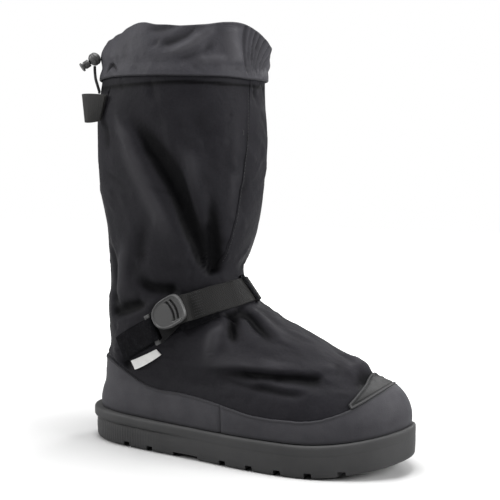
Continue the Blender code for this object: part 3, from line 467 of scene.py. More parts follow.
shaftSections = {
    "backX": (0.057, 0.055, 0.06, 0.08, 0.084, 0.078, 0.076, 0.056, 0.031, 0.0225, 0.02, 0.026, 0.055,
        0.075, 0.074, 0.135, 0.2),
    "backZ": (-0.228, -0.173, -0.107, -0.03, 0.056, 0.152, 0.249, 0.345, 0.447, 0.558, 0.685, 0.827, 0.964,
        1.05, 1.115, 1.19, 1.26),
    "frontX": (0.8735, 0.868, 0.905, 0.934, 0.953, 0.969, 0.98, 0.99, 0.9965, 0.998, 0.991, 0.981, 0.978,
        0.982, 0.996, 1.02, 1.062),
    "frontZ": (0.046, 0.112, 0.183, 0.259, 0.335, 0.416, 0.497, 0.579, 0.66, 0.736, 0.817, 0.898, 0.98,
        1.05, 1.108, 1.17, 1.24),
    "half": (0.68, 0.72, 0.766, 0.812, 0.852, 0.883, 0.906, 0.93, 0.953, 0.969, 0.984, 1, 1, 0.995, 0.985,
        0.96, 0.93),
}
randEdge = {
    "height": 0.052,
    "along": (0.02, 0.08, 0.13, 0.18, 0.22, 0.28, 0.36, 0.48, 0.60, 0.70, 0.79, 0.86, 0.95),
    "rise": (1.00, 0.97, 0.87, 0.74, 0.64, 0.57, 0.56, 0.49, 0.38, 0.37, 0.40, 0.51, 0.76),
}
hemRow = 25.0


def curveThrough(stations, values, at):
    # a smooth curve through the values, each slope taken from the neighbours on both sides
    stations, values = np.asarray(stations, float), np.asarray(values, float)
    at = np.clip(np.asarray(at, float), stations[0], stations[-1])
    slopes = np.gradient(values, stations)
    span = np.clip(np.searchsorted(stations, at, side="right") - 1, 0, len(stations) - 2)
    width = stations[span + 1] - stations[span]
    t = (at - stations[span]) / width
    start = (1 + 2 * t) * (1 - t) ** 2 * values[span] + t * (1 - t) ** 2 * width * slopes[span]
    return start + t**2 * (3 - 2 * t) * values[span + 1] + t**2 * (t - 1) * width * slopes[span + 1]


def smoothed(points, at):
    # the smooth curve through a line's points, which count as 0, 1, 2 and so on
    marks = np.arange(len(points))
    return np.stack([curveThrough(marks, column, at) for column in np.transpose(points)], axis=-1)


def sampled(points, marks, at):
    # places on the straight lines between a line's marked points
    return np.stack([np.interp(at, marks, column) for column in np.transpose(points)], axis=-1)


def travelled(points, axis=0):
    # how far along its line each point lies
    steps = np.linalg.norm(np.diff(points, axis=axis), axis=-1)
    return np.concatenate([0 * np.take(steps, [0], axis=axis), np.cumsum(steps, axis=axis)], axis=axis)


def smoothStep(low, high, at):
    t = np.clip((np.asarray(at, float) - low) / (high - low), 0.0, 1.0)
    return t * t * (3 - 2 * t)


def soleShare(along, side):
    # half the sole's width as a share of half the ball width: the table's, rounded off at both ends
    heel = np.clip(1 - along / shoe["heelRound"], 0.0, 1.0)
    toe = np.clip((along - 1 + shoe["toeRound"]) / shoe["toeRound"], 0.0, 1.0)
    ends = np.sqrt(1 - heel**2) * np.sqrt(np.clip(1 - toe ** shoe["toeFullness"], 0.0, 1.0))
    return curveThrough(soleOutline["along"], soleOutline[side], along) * ends


def soleSpring(x):
    start = shoe["springStart"]
    return shoe["toeSpring"] * np.clip((x / shoe["soleLength"] - start) / (1 - start), 0.0, 1.0) ** 2


def seatRise(x):
    heel = 1 - smoothStep(0.0, shoe["heelRiseEnd"], np.asarray(x, float) / shoe["soleLength"])
    return soleSpring(x) + shoe["heelRise"] * heel


def sectionSizes():
    seat = shoe["soleHeight"] + shoe["seatGap"]
    foot = {name: np.array(column, float) for name, column in footSections.items()}
    shaft = {name: np.array(column, float) for name, column in shaftSections.items()}
    sizes = {"oval": np.append(foot["oval"], np.ones(len(shaft["half"])))}
    sizes["half"] = np.append(foot["half"] * shoe["ballWidth"], shaft["half"] * shoe["shaftWidth"]) / 2
    for end in ("back", "front"):
        low = foot[end + "X"] * shoe["soleLength"]
        sizes[end + "X"] = np.append(low, shoe["shaftSetback"] + shaft[end + "X"] * shoe["shaftDepth"])
        low = seat + foot[end + "Z"] * (shoe["throatHeight"] - seat)
        high = shoe["throatHeight"] + shaft[end + "Z"] * (shoe["hemHeight"] - shoe["throatHeight"])
        sizes[end + "Z"] = np.append(low, high)
    return sizes


sections = sectionSizes()
sectionRows = np.arange(len(sections["half"]))


def form(rows, angles):
    # a slanted section at each row, half sole outline and half oval, walked round from the heel's back
    rows, angles = np.broadcast_arrays(np.asarray(rows, float), np.asarray(angles, float))
    size = {name: curveThrough(sectionRows, column, rows) for name, column in sections.items()}
    along = (1 - np.cos(np.radians(angles))) / 2
    outer = np.sin(np.radians(angles)) >= 0
    outline = np.where(outer, soleShare(along, "lateral"), soleShare(along, "medial"))
    full = shoe["ovalFullness"]
    oval = (1 - np.abs(2 * along - 1) ** full) ** (1 / full)
    half = size["half"] * ((1 - size["oval"]) * outline + size["oval"] * oval)
    x = size["backX"] + along * (size["frontX"] - size["backX"])
    z = size["backZ"] + along * (size["frontZ"] - size["backZ"])
    z = z + seatRise(x) * np.clip(1 - rows / shoe["springFadeRows"], 0.0, 1.0)
    return np.stack([x - shoe["heelToOrigin"], np.where(outer, -half, half), z], axis=-1)


def unit(vectors):
    return vectors / np.maximum(np.linalg.norm(vectors, axis=-1, keepdims=True), 1e-12)


def formNormals(rows, angles):
    # outward directions, across the form's slopes up the rows and round the section
    rows, angles = np.broadcast_arrays(np.asarray(rows, float), np.asarray(angles, float))
    up = form(rows + 0.05, angles) - form(rows - 0.05, angles)
    return unit(np.cross(form(rows, angles + 0.5) - form(rows, angles - 0.5), up))


def randRow(angles):
    # the row where the form reaches the rand's top edge, at each angle
    rows = np.linspace(0.0, 11.0, 400)
    grid = form(rows[:, None], np.asarray(angles, float)[None, :] % 360.0)
    x = grid[..., 0] + shoe["heelToOrigin"]
    edge = shoe["soleHeight"] + soleSpring(x)
    edge = edge + randEdge["height"] * curveThrough(randEdge["along"], randEdge["rise"],
        x / shoe["soleLength"])
    above = grid[..., 2] >= edge
    return np.where(above.any(axis=0), rows[above.argmax(axis=0)], rows[-1])


# Folds of the cloth. Each is a line of (degrees, row) over the form, drawn downwards or towards the toe,
# with its depth in metres (below 0 a trough), its widths on the heel's or lower side and on the other,
# and the shares of its length over which it grows and dies away.

folds = {
    "mainTrough": (((66, 24.15), (77.5, 23.56), (86, 22.72), (91, 21.99), (98.5, 20.93), (105.5, 19.74),
        (111, 18.55), (118, 17.2), (128, 15.5), (141, 13.9)), -0.0104, (0.0050, 0.0130), (0.52, 0.12)),
    "mainRidge": (((58, 24.1), (70.5, 23.3), (79, 21.9), (86, 20.5), (92.5, 19.1), (101, 17.6),
        (111, 16.0)), 0.0036, (0.0110, 0.0060), (0.25, 0.30)),
    "secondTrough": (((132, 20.2), (135, 17.75), (138.5, 16.02), (143.5, 14.67), (147, 13.6)), -0.0085,
        (0.0048, 0.0058), (0.55, 0.08)),
    "ridgeBetween": (((104.5, 22.34), (117, 21.25), (119, 19.45), (123, 18.01), (129, 16.11), (138, 14.6)),
        0.0032, (0.0060, 0.0070), (0.30, 0.15)),
    "upperTrough": (((122, 23.9), (128, 22.6), (134, 21.34)), -0.0014, (0.0090, 0.0090), (0.4, 0.4)),
    "flapRidge": (((151, 23.6), (153, 21.1), (151.5, 19.13), (149, 17.49), (146, 15.6)), 0.0014,
        (0.0060, 0.0080), (0.3, 0.3)),
    "flapTrough": (((161, 24.0), (164, 21.5), (163, 19.0), (159, 16.5)), -0.0012, (0.0060, 0.0060),
        (0.3, 0.3)),
    "backRidge": (((47, 22.21), (43.5, 21.12), (40, 19.68), (44.5, 18.07), (46.5, 16.4)), 0.0012,
        (0.0070, 0.0060), (0.3, 0.3)),
    "backTrough": (((38, 18.6), (44, 17.4), (48, 15.6), (46, 14.2)), -0.0032, (0.0045, 0.0055), (0.3, 0.2)),
    "calfRidge": (((68, 18.4), (60, 17.2), (54, 15.9), (50, 14.6)), 0.0034, (0.0060, 0.0110), (0.4, 0.25)),
    "calfTrough": (((88, 19.3), (80, 17.9), (72, 16.6), (64, 15.4)), -0.0024, (0.0080, 0.0080), (0.4, 0.3)),
    "ankleBand": (((70, 15.6), (80, 15.1), (90, 14.4), (102.5, 13.8), (116, 13.3)), -0.0044,
        (0.0050, 0.0075), (0.40, 0.15)),
    "ankleRoll": (((60, 14.9), (76, 14.2), (90, 13.35), (104, 12.9)), 0.0016, (0.0045, 0.0050), (0.3, 0.3)),
    "heelCrease": (((38, 13.9), (50, 13.6), (63.5, 13.45), (78.5, 13.42), (90, 13.62)), -0.0050,
        (0.0034, 0.0080), (0.25, 0.30)),
    "heelRoll": (((40, 13.2), (55, 12.8), (70, 12.75), (84, 12.9)), 0.0004, (0.0050, 0.0040), (0.3, 0.3)),
    "coneRidge": (((135, 10.75), (121.5, 9.28), (106.5, 7.64), (93, 6.1)), 0.0046, (0.0080, 0.0060),
        (0.12, 0.55)),
    "coneTrough": (((143, 11.0), (136.5, 9.95), (128, 8.76), (120, 7.4)), -0.0060, (0.0042, 0.0065),
        (0.10, 0.50)),
    "strapShadow": (((100, 10.1), (108, 10.35), (119, 10.7), (131, 10.95)), -0.0036, (0.0050, 0.0050),
        (0.2, 0.2)),
    "throatTrough": (((150, 11.2), (154.5, 10.05), (149, 8.5), (143, 7.3)), -0.0052, (0.0055, 0.0060),
        (0.10, 0.50)),
    "vampFan": (((163, 10.6), (160, 9.3), (152, 7.8), (146, 6.6)), 0.0020, (0.0050, 0.0060), (0.2, 0.4)),
    "instepTrough": (((172, 10.9), (170, 9.4), (165, 8.0)), -0.0016, (0.0050, 0.0050), (0.2, 0.5)),
    "vampLight": (((84, 6.2), (98.5, 6.23), (110, 6.2), (117, 5.75), (125, 5.28), (134, 5.02)), 0.0034,
        (0.0045, 0.0100), (0.35, 0.30)),
    "vampCrease": (((88, 4.9), (97, 5.15), (106.5, 5.17), (115.5, 5.01), (124.5, 4.72), (134, 4.53),
        (143.5, 4.44)), -0.0046, (0.0060, 0.0034), (0.50, 0.12)),
    "vampLowLight": (((106, 4.35), (113, 4.28), (121, 3.95), (130, 3.7)), 0.0014, (0.0032, 0.0040),
        (0.3, 0.3)),
    "vampLowCrease": (((104, 3.9), (111, 3.89), (119, 3.47), (128, 3.18)), -0.0026, (0.0042, 0.0030),
        (0.35, 0.25)),
    "labelFold": (((49, 8.2), (47.5, 6.6), (46.5, 5.04), (50, 3.53), (57, 2.8)), -0.0044, (0.0050, 0.0060),
        (0.25, 0.20)),
    "heelRidge": (((40, 12.2), (41.5, 10.0), (40.5, 8.09), (37.5, 5.2)), 0.0014, (0.0050, 0.0060),
        (0.25, 0.25)),
    "toeBump": (((196, 6.3), (184, 5.7), (178, 5.1), (172, 4.6)), 0.0013, (0.0050, 0.0050), (0.3, 0.3)),
    "toeCrease": (((170, 6.3), (160, 5.6), (152, 4.75), (145, 3.8)), -0.0013, (0.0050, 0.0060), (0.3, 0.4)),
    "hemPleat": (((66, 25.3), (68.5, 24.9), (70.5, 24.5)), -0.0012, (0.0016, 0.0022), (0.05, 0.5)),
    "hemFold": (((91, 25.2), (95, 24.5), (100, 24.0)), -0.0010, (0.0040, 0.0040), (0.1, 0.6)),
    "hemTuck": (((181, 25.2), (190, 24.5), (197, 23.6)), -0.0016, (0.0022, 0.0030), (0.1, 0.6)),
    "hemTuckBeside": (((172, 25.2), (176, 24.3), (177, 23.3)), -0.0012, (0.0022, 0.0030), (0.1, 0.6)),
    "slitFold": (((50, 23.9), (53, 23.0), (50.5, 22.3)), -0.0022, (0.0050, 0.0050), (0.3, 0.4)),
    "calfCross": (((44, 21.7), (54, 21.4), (64, 20.9), (75, 20.0)), -0.0014, (0.0050, 0.0055), (0.3, 0.4)),
    "shinCross": (((140, 20.9), (150, 20.0), (160, 19.6)), -0.0010, (0.0050, 0.0050), (0.4, 0.4)),
}
farSide = {
    # the side that the photograph doesn't show gets the same folds, a little lower, shallower and turned
    "skip": ("slitFold", "labelFold", "hemPleat", "strapShadow"), "rows": -0.25, "degrees": 6.0,
    "depth": 0.75,
}
collarFolds = {
    "frontSeam": (((151, 28.8), (157, 27.5), (163, 26.2), (168, 25.0)), -0.0018, (0.0014, 0.0022),
        (0.05, 0.1)),
    "pleatA": (((158, 28.7), (162, 27.5), (166.5, 26.2), (170.5, 25.0)), -0.0012, (0.0014, 0.0018),
        (0.05, 0.1)),
    "pleatB": (((165, 28.6), (167, 27.5), (170, 26.3), (172.5, 25.0)), -0.0016, (0.0014, 0.0018),
        (0.05, 0.1)),
    "pleatC": (((172, 28.4), (172.3, 27.4), (173.2, 26.3), (174, 25.0)), -0.0013, (0.0014, 0.0018),
        (0.05, 0.1)),
    "pleatD": (((179.5, 28.1), (178, 27.2), (176.6, 26.2), (175.5, 25.0)), -0.0017, (0.0014, 0.0018),
        (0.05, 0.1)),
    "pleatE": (((187, 27.8), (183, 26.9), (180, 26.0), (177, 25.0)), -0.0013, (0.0014, 0.0018), (0.05, 0.1)),
    "pleatF": (((195, 27.6), (188.5, 26.7), (183.5, 25.9), (178.5, 25.0)), -0.0016, (0.0014, 0.0018),
        (0.05, 0.1)),
    "pleatG": (((204, 27.6), (195, 26.8), (187, 25.9), (180, 25.0)), -0.0013, (0.0014, 0.0018), (0.05, 0.1)),
    "panelSwell": (((140, 28.8), (146, 27.9), (152, 27.0), (158, 25.8)), 0.0030, (0.0100, 0.0050),
        (0.2, 0.2)),
    "cornerFold": (((55, 26.25), (52, 25.9), (49, 25.4)), -0.0026, (0.0014, 0.0022), (0.1, 0.1)),
    "cornerFoldBeside": (((55, 26.25), (60, 25.9), (65, 25.5)), -0.0020, (0.0022, 0.0014), (0.1, 0.2)),
    "cornerSwell": (((56, 25.9), (57, 25.4)), 0.0012, (0.0020, 0.0020), (0.3, 0.1)),
    "longRoll": (((98, 26.7), (108, 26.85), (117, 27.3), (124, 27.9), (129, 28.6)), 0.0022,
        (0.0036, 0.0046), (0.35, 0.15)),
    "middleDip": (((94, 27.3), (104, 27.5), (112, 27.9), (117, 28.6)), -0.0020, (0.0036, 0.0036),
        (0.3, 0.2)),
    "upperDip": (((78, 28.3), (88, 28.3), (98, 28.5), (106, 28.9)), -0.0011, (0.0032, 0.0036), (0.3, 0.2)),
    "underDip": (((108, 26.3), (118, 26.5), (128, 27.0), (136, 27.8)), -0.0012, (0.0040, 0.0040),
        (0.3, 0.3)),
    "lowRoll": (((120, 26.0), (130, 26.25), (140, 26.35), (148, 26.2)), 0.0020, (0.0040, 0.0035),
        (0.3, 0.4)),
    "backDip": (((66, 27.9), (70, 26.9), (72, 26.0)), -0.0009, (0.0050, 0.0080), (0.3, 0.4)),
    "backSwell": (((50, 27.5), (55, 26.9), (58, 26.4)), 0.0007, (0.0055, 0.0055), (0.3, 0.4)),
    "hemRipple": (((76, 25.9), (84, 25.5), (90, 25.2)), -0.0012, (0.0030, 0.0030), (0.3, 0.3)),
    "hemRippleFar": (((120, 25.8), (126, 25.45), (131, 25.2)), -0.0012, (0.0030, 0.0030), (0.3, 0.3)),
}
dents = {
    # where the whole toe gives way, the rand and its cap with it
    "toeDip": (((146, 3.9), (162, 3.85), (180, 3.8), (198, 3.8), (214, 3.9)), -0.0042, (0.0110, 0.0120),
        (0.3, 0.3)),
}
# the deepest that folds may add up to
foldFloor = 0.0105
crumples = {
    # how many, the draw's seed, deepest, longest and widest, and the rows they are strewn over
    "shell": (420, 11, 0.00085, (0.6, 2.2), (0.0020, 0.0046), (3.2, 24.4)),
    "collar": (70, 5, 0.00070, (0.5, 1.6), (0.0018, 0.0040), (25.6, 28.6)),
}


def foldLine(points, depth, widths, fades, samples=48):
    # the fold's line laid on the form, with its side direction and its depth at each sample
    degrees, rows = smoothed(points, np.linspace(0, len(points) - 1, samples)).T
    line = form(rows, degrees)
    side = np.cross(unit(np.gradient(line, axis=0)), formNormals(rows, degrees))
    share = np.linspace(0, 1, samples)
    depth = depth * smoothStep(0, fades[0], share) * (1 - smoothStep(1 - fades[1], 1, share))
    return line, side, depth, widths


def mirrorFold(fold):
    points, depth, widths, fades = fold
    turned = tuple((360 - d + farSide["degrees"], r + farSide["rows"]) for d, r in points)
    return turned, depth * farSide["depth"], widths[::-1], fades


def crumpleLines(count, seed, deepest, lengths, widths, span):
    # short shallow creases strewn over the cloth, mostly running down and forwards as the long ones do
    pick = np.random.default_rng(seed)
    lines = []
    while len(lines) < count:
        row, degrees = pick.uniform(*span), pick.uniform(0, 360)
        length, lean = pick.uniform(*lengths), pick.normal(8.0, 9.0) * (1 if degrees < 180 else -1)
        bend = pick.normal(0, 2.0)
        points = ((degrees, row), (degrees + lean / 2 + bend, row - length / 2),
            (degrees + lean, row - length))
        depth = deepest * pick.uniform(0.4, 1.0) * pick.choice((-1, 1))
        width = pick.uniform(*widths)
        lines.append(foldLine(points, depth, (width, width * pick.uniform(0.6, 1.4)), (0.4, 0.4), 10))
    return lines


shellLines = [foldLine(*fold) for fold in folds.values()]
shellLines += [foldLine(*mirrorFold(fold)) for name, fold in folds.items() if name not in farSide["skip"]]
shellLines += crumpleLines(*crumples["shell"])
dentLines = [foldLine(*dent) for dent in dents.values()]
collarLines = [foldLine(*fold) for fold in collarFolds.values()]
mirrored = [fold for name, fold in collarFolds.items() if not name.startswith(("pleat", "front"))]
collarLines += [foldLine(*mirrorFold(fold)) for fold in mirrored]
collarLines += crumpleLines(*crumples["collar"])


def nearTo(line, points, reach):
    # which points lie in the line's box, widened by the reach
    inBox = (points > line.min(axis=0) - reach) & (points < line.max(axis=0) + reach)
    return np.nonzero(inBox.all(axis=1))[0]


def foldDepths(points, lines):
    # each fold is a bell across its line: depth times exp(-(distance / width) squared), wider on one side;
    # the distance is to the nearest sample, less the way along the line that the sample misses by
    flat = points.reshape(-1, 3)
    total = np.zeros(len(flat))
    for line, side, depth, widths in lines:
        near = nearTo(line, flat, 2.6 * max(widths))
        if len(near) == 0:
            continue
        gap = flat[near, None, :] - line[None, :, :]
        distance = np.einsum("ijk,ijk->ij", gap, gap)
        closest = distance.argmin(axis=1)
        found = np.arange(len(near))
        lower = np.einsum("ij,ij->i", gap[found, closest], side[closest]) > 0
        width = np.where(lower, widths[0], widths[1])
        way = unit(np.gradient(line, axis=0))[closest]
        step = np.linalg.norm(np.diff(line, axis=0), axis=1).mean() / 2
        slip = np.clip(np.einsum("ij,ij->i", gap[found, closest], way), -step, step)
        total[near] += depth[closest] * np.exp(-(distance[found, closest] - slip**2) / width**2)
    # no fold grows deeper than the floor, however many meet
    total = np.where(total < 0, -foldFloor * np.tanh(-total / foldFloor), total)
    return total.reshape(points.shape[:-1])


strapRoute = {
    "degrees": (119.0, 135.0, 158.0, 180.0, 202.0, 225.0, 250.0, 275.0, 292.0),
    "row": (11.95, 11.95, 11.96, 12.00, 12.00, 11.95, 11.55, 10.60, 9.60),
}
backingRoute = {
    "degrees": (49.0, 54.5, 70.0, 85.5, 100.0, 115.0, 138.0),
    "row": (9.00, 9.43, 10.31, 10.88, 11.30, 11.46, 11.62),
}


# where the cloth is held down, in rows: from the rand's edge up, from the strap's and the backing's middle
# out, and under the collar; with the share of a fold left at the rand, and the share a trough loses
holds = {
    "rand": (0.1, 1.3), "randShare": 0.10, "strap": (1.0, 1.9), "backing": (1.3, 2.3),
    "collar": (24.4, 25.1),
    "troughLoss": 0.45,
}


def heldAlong(route, reach, rows, angles):
    middle = np.interp(angles, route["degrees"], route["row"], left=-9, right=-9)
    return 1 - smoothStep(*reach, np.abs(rows - middle))


def shellFolds(rows, angles, points):
    # the folds, flattened where the rand, the strap or the collar holds the cloth down, and the toe's dent
    depth = foldDepths(points, shellLines)
    angles = angles % 360.0
    edge = np.interp(angles, ringAngles, ringRand)
    low, high = holds["rand"]
    free = smoothStep(edge + low, edge + high, rows)
    depth = depth * (holds["randShare"] + (1 - holds["randShare"]) * free)
    held = heldAlong(strapRoute, holds["strap"], rows, angles)
    held = np.maximum(held, heldAlong(backingRoute, holds["backing"], rows, angles))
    held = np.maximum(held, smoothStep(*holds["collar"], rows))
    loss = np.where(depth > 0, held, holds["troughLoss"] * held)
    return depth * (1 - loss) + foldDepths(points, dentLines)


ringAngles = np.linspace(0.0, 360.0, 241)
ringRand = randRow(ringAngles)


def skin(rows, angles, offset=0.0):
    # points on the creased shell, pushed outwards by the offset
    rows, angles, offset = np.broadcast_arrays(*(np.asarray(v, float) for v in (rows, angles, offset)))
    points = form(rows, angles)
    return points + formNormals(rows, angles) * (shellFolds(rows, angles, points) + offset)[..., None]


# Meshes


def meshObject(name, points, faces, uv, finish, node):
    faces = np.asarray(faces)
    tri = points[faces[:, :3]], points[faces[:, [0, 2, 3]]]
    volume = sum(np.einsum("ij,ij->", t[:, 0], np.cross(t[:, 1], t[:, 2])) for t in tri)
    if volume < 0:
        faces = faces[:, ::-1]
        uv = None if uv is None else uv[:, ::-1]
    mesh = bpy.data.meshes.new(name)
    mesh.vertices.add(len(points))
    mesh.vertices.foreach_set("co", points.astype(np.float32).ravel())
    mesh.loops.add(faces.size)
    mesh.loops.foreach_set("vertex_index", faces.astype(np.int32).ravel())
    mesh.polygons.add(len(faces))
    mesh.polygons.foreach_set("loop_start", np.arange(0, faces.size, 4, dtype=np.int32))
    if uv is not None:
        mesh.uv_layers.new(name="cloth").data.foreach_set("uv", uv.astype(np.float32).ravel())
    mesh.update()
    mesh.validate()
    mesh.shade_smooth()
    mesh.set_sharp_from_angle(angle=math.radians(50))
    mesh.materials.append(finish)
    return dress(addObject(name, mesh), node)


def dress(made, node):
    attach(made, "root")
    if node:
        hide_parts(node)
    return made


def ringSurface(name, ring, finish, node, around=False):
    # a closed skin from a loop of points (first axis) carried along or around the second axis,
    # with its two ends closed by strips across the loop
    loop, columns = ring.shape[:2]
    points = ring.reshape(-1, 3)
    last = columns if around else columns - 1
    r, c = np.meshgrid(np.arange(loop), np.arange(last), indexing="ij")
    r2, c2 = (r + 1) % loop, (c + 1) % columns
    faces = np.stack([r * columns + c, r * columns + c2, r2 * columns + c2, r2 * columns + c],
        axis=-1).reshape(-1, 4)
    down = np.concatenate([[0.0], np.cumsum(np.linalg.norm(np.diff(ring, axis=0), axis=-1).mean(axis=1))])
    closing = down[-1] + np.linalg.norm(ring[0] - ring[-1], axis=-1).mean()
    step = np.linalg.norm(np.roll(ring, -1, axis=1) - ring, axis=-1)
    across = np.concatenate([np.zeros((loop, 1)), np.cumsum(step, axis=1)], axis=1)
    v, vNext = down[r], np.append(down, closing)[r + 1]
    u, uNext = across[r, c], across[r, c + 1]
    uv = np.stack([u, v, uNext, v, across[r2, c + 1], vNext, across[r2, c], vNext], axis=-1).reshape(-1, 4,
        2)
    if not around:
        i = np.arange(loop // 2 - 1)
        strip = np.stack([i, i + 1, loop - 2 - i, loop - 1 - i], axis=-1) * columns
        faces = np.concatenate([faces, strip, strip[:, ::-1] + columns - 1])
        uv = np.concatenate([uv, np.zeros((2 * len(i), 4, 2))])
    return meshObject(name, points, faces, uv, finish, node)


def turnedSurface(name, rings, finish, node):
    # a closed skin from rings stacked along the first axis, each closed round, ending in small caps
    return ringSurface(name, np.moveaxis(rings, 0, 1), finish, node)


def floatAttribute(made, name, values):
    made.data.attributes.new(name, "FLOAT", "POINT").data.foreach_set("value",
        np.asarray(values, np.float32).ravel())


def edgeRound(distance, radius):
    # a quarter circle from 0 at an edge to 1 at the radius
    t = np.clip(distance / radius, 0.0, 1.0)
    return np.sqrt(1 - (1 - t) ** 2)


# what all pieces sewn over the shell share: the underside's height, the share of thickness at an edge, how
# far the edge's own tint and the painted contact-shadow line reach, and how much the rows crowd towards both
# edges
sewn = {"under": 0.00005, "edgeShare": 0.25, "rimWidth": 0.0010, "contactShadowWidth": 0.0016, "crowding": 0.5}


def patch(name, low, high, degrees, sizes, finish, node):
    # a piece sewn over the shell between two rows at each angle, rounded off along its free edges; its lip
    # and its groove are bells across the distance from the nearest free edge
    count = sizes["rowCount"]
    even, crowding = np.linspace(0, 1, count), sewn["crowding"]
    s = (1 - np.cos(np.pi * even)) / 2 * crowding + even * (1 - crowding)
    rows = low[None, :] + (high - low)[None, :] * s[:, None]
    angles = np.broadcast_to(degrees[None, :], rows.shape)
    base = skin(rows, angles)
    up, way = travelled(base), travelled(base, 1)
    gaps = {"low": up, "high": up[-1:] - up, "first": way, "last": way[:, -1:] - way}
    far = np.min([gaps[side] for side in sizes["free"]], axis=0)
    edgeShare = sewn["edgeShare"] + (1 - sewn["edgeShare"]) * edgeRound(far, sizes["round"])
    rise = sizes["gap"] + sizes["thickness"] * edgeShare
    if "lip" in sizes:
        rise = rise + sizes["lip"] * np.exp(-(((far - sizes["lipAt"]) / sizes["lipWidth"]) ** 2))
    if "groove" in sizes:
        rise = rise - sizes["groove"] * np.exp(-(((far - sizes["grooveAt"]) / sizes["grooveWidth"]) ** 2))
    normals = formNormals(rows, angles)
    outer = base + normals * rise[..., None]
    inner = base + normals * sewn["under"]
    made = ringSurface(name, np.concatenate([outer, inner[::-1]]), finish, node)
    # the edge's tint, and a painted contact-shadow line along the rand's foot
    edge = np.exp(-(((far - sizes["round"]) / sewn["rimWidth"]) ** 2))
    if "contactShadow" in sizes:
        edge = np.maximum(edge, np.exp(-(((up - sizes["contactShadow"]) / sewn["contactShadowWidth"]) ** 2)))
    floatAttribute(made, "edge", np.concatenate([edge, 0 * edge]))


# Stitches: one short rounded thread for each, all in one mesh for each seam

stitches = {"length": 0.0022, "pitch": 0.0030, "thick": 0.00030, "sink": 0.00004}


def threadTemplate():
    # a thread that bows up from the cloth: six-sided rings along it, small at both ends
    along = np.array([-0.5, -0.38, -0.14, 0.14, 0.38, 0.5])
    radius = np.array([0.25, 0.85, 1.0, 1.0, 0.85, 0.25])
    turn = np.arange(6) * np.pi / 3
    x = np.repeat(along[:, None], 6, axis=1)
    y = radius[:, None] * np.cos(turn)
    z = radius[:, None] * np.sin(turn) - (2 * along[:, None]) ** 4 * 0.9
    return x, y, z


def seamStitches(path, normals, pitch=stitches["pitch"], length=stitches["length"]):
    # where each stitch of a seam lies: its middle, its three directions and its length
    run = travelled(path)
    at = np.arange(pitch / 2, run[-1] - pitch / 2 + 1e-9, pitch)
    centre = sampled(path, run, at)
    ahead = unit(sampled(path, run, at + pitch * 0.3) - centre)
    up = unit(sampled(normals, run, at))
    side = unit(np.cross(up, ahead))
    return centre, ahead, side, up, length


def stitchMesh(name, seams, finish):
    x, y, z = threadTemplate()
    parts = []
    thick = stitches["thick"]
    for centre, ahead, side, up, length in seams:
        local = np.stack([x * length, y * thick, z * thick + stitches["sink"]], axis=-1).reshape(-1, 3)
        axes = np.stack([ahead, side, up], axis=1)
        parts.append(centre[:, None, :] + np.einsum("pk,skj->spj", local, axes))
    points = np.concatenate(parts)
    count, each = points.shape[:2]
    ring, turn = np.meshgrid(np.arange(5), np.arange(6), indexing="ij")
    nextTurn = (turn + 1) % 6
    faces = np.stack([ring * 6 + turn, ring * 6 + nextTurn, ring * 6 + 6 + nextTurn, ring * 6 + 6 + turn],
        axis=-1)
    caps = np.array([[0, 3, 2, 1], [0, 5, 4, 3], [30, 31, 32, 33], [30, 33, 34, 35]])
    faces = np.concatenate([faces.reshape(-1, 4), caps])
    faces = (faces[None] + (np.arange(count) * each)[:, None, None]).reshape(-1, 4)
    return meshObject(name, points.reshape(-1, 3), faces, None, finish, None)


def seamOnSkin(rows, degrees, offset, samples=160, **sizes):
    marks, at = np.arange(len(rows)), np.linspace(0, len(rows) - 1, samples)
    rows, degrees = np.interp(at, marks, rows), np.interp(at, marks, degrees)
    return seamStitches(skin(rows, degrees, offset), formNormals(rows, degrees), **sizes)


# The shell: nylon outside, fleece inside

shell = {"rows": 228, "columns": 300, "innerRows": 92, "top": 25.7, "paintedShading": 0.0040, "slackLining": 0.15}
# the painted shadow band under the collar's hem: its row, how far it drops towards the front and over which
# angles, its width in rows and its strength
hemShadowBand = {"row": 24.88, "drop": 0.20, "over": (105.0, 165.0), "width": 0.085, "strength": 1.3}


def paintedClothShading(rows, angles):
    # painted highlight and shade by how far the folds stand up or lie down, and a painted shadow band under
    # the collar's lower edge
    folds = shellFolds(rows, angles, form(rows, angles)) / shell["paintedShading"]
    middle = hemShadowBand["row"] - hemShadowBand["drop"] * smoothStep(*hemShadowBand["over"],
        np.minimum(angles, 360 - angles))
    return folds - hemShadowBand["strength"] * np.exp(-(((rows - middle) / hemShadowBand["width"]) ** 2))


def makeShell():
    angles = np.arange(shell["columns"]) * 360.0 / shell["columns"]
    rows = np.linspace(0.0, shell["top"], shell["rows"])[:, None]
    outer = skin(rows, angles[None, :])
    slit = slitDepth(outer)
    outer = outer + formNormals(rows, angles[None, :]) * slit[..., None]
    inRows = np.linspace(shell["top"], 0.0, shell["innerRows"])[:, None]
    under = np.minimum(shellFolds(inRows, angles[None, :], form(inRows, angles[None, :])),
        0) * shell["slackLining"]
    # the lining lies the wall's thickness in, and further in under the troughs
    inner = skin(inRows, angles[None, :], under - shoe["upperWall"])
    inner[-1, :, 2] = outer[0, :, 2]
    made = ringSurface("shell", np.concatenate([outer, inner]), finishes["nylon"], "upper",
        around=True)
    made.data.materials.append(finishes["lining"])
    # painted shading of the folds and of the slit: darker down its valley, paler on its lips
    paintedShading = paintedClothShading(rows, angles[None, :]) + slit / pullSlit["shade"]
    paintedShading = np.concatenate([np.clip(paintedShading, -1, 1), 0 * inner[..., 0]])
    floatAttribute(made, "paintedShading", paintedShading)
    loop = shell["rows"] + shell["innerRows"]
    which = np.repeat((np.arange(loop) >= shell["rows"]).astype(np.int32), shell["columns"])
    made.data.polygons.foreach_set("material_index", which)
    print("overshoe: shell", len(made.data.polygons), "faces")


pullSlit = {
    "degrees": (54.6, 53.2, 51.0, 44.4), "heights": (0.3262, 0.3180, 0.3100, 0.2975), "lip": 0.0007,
    "apart": 0.0017, "lipWidth": 0.0010, "deep": 0.0016, "width": 0.0009, "shade": 0.0012, "reach": 0.008,
}


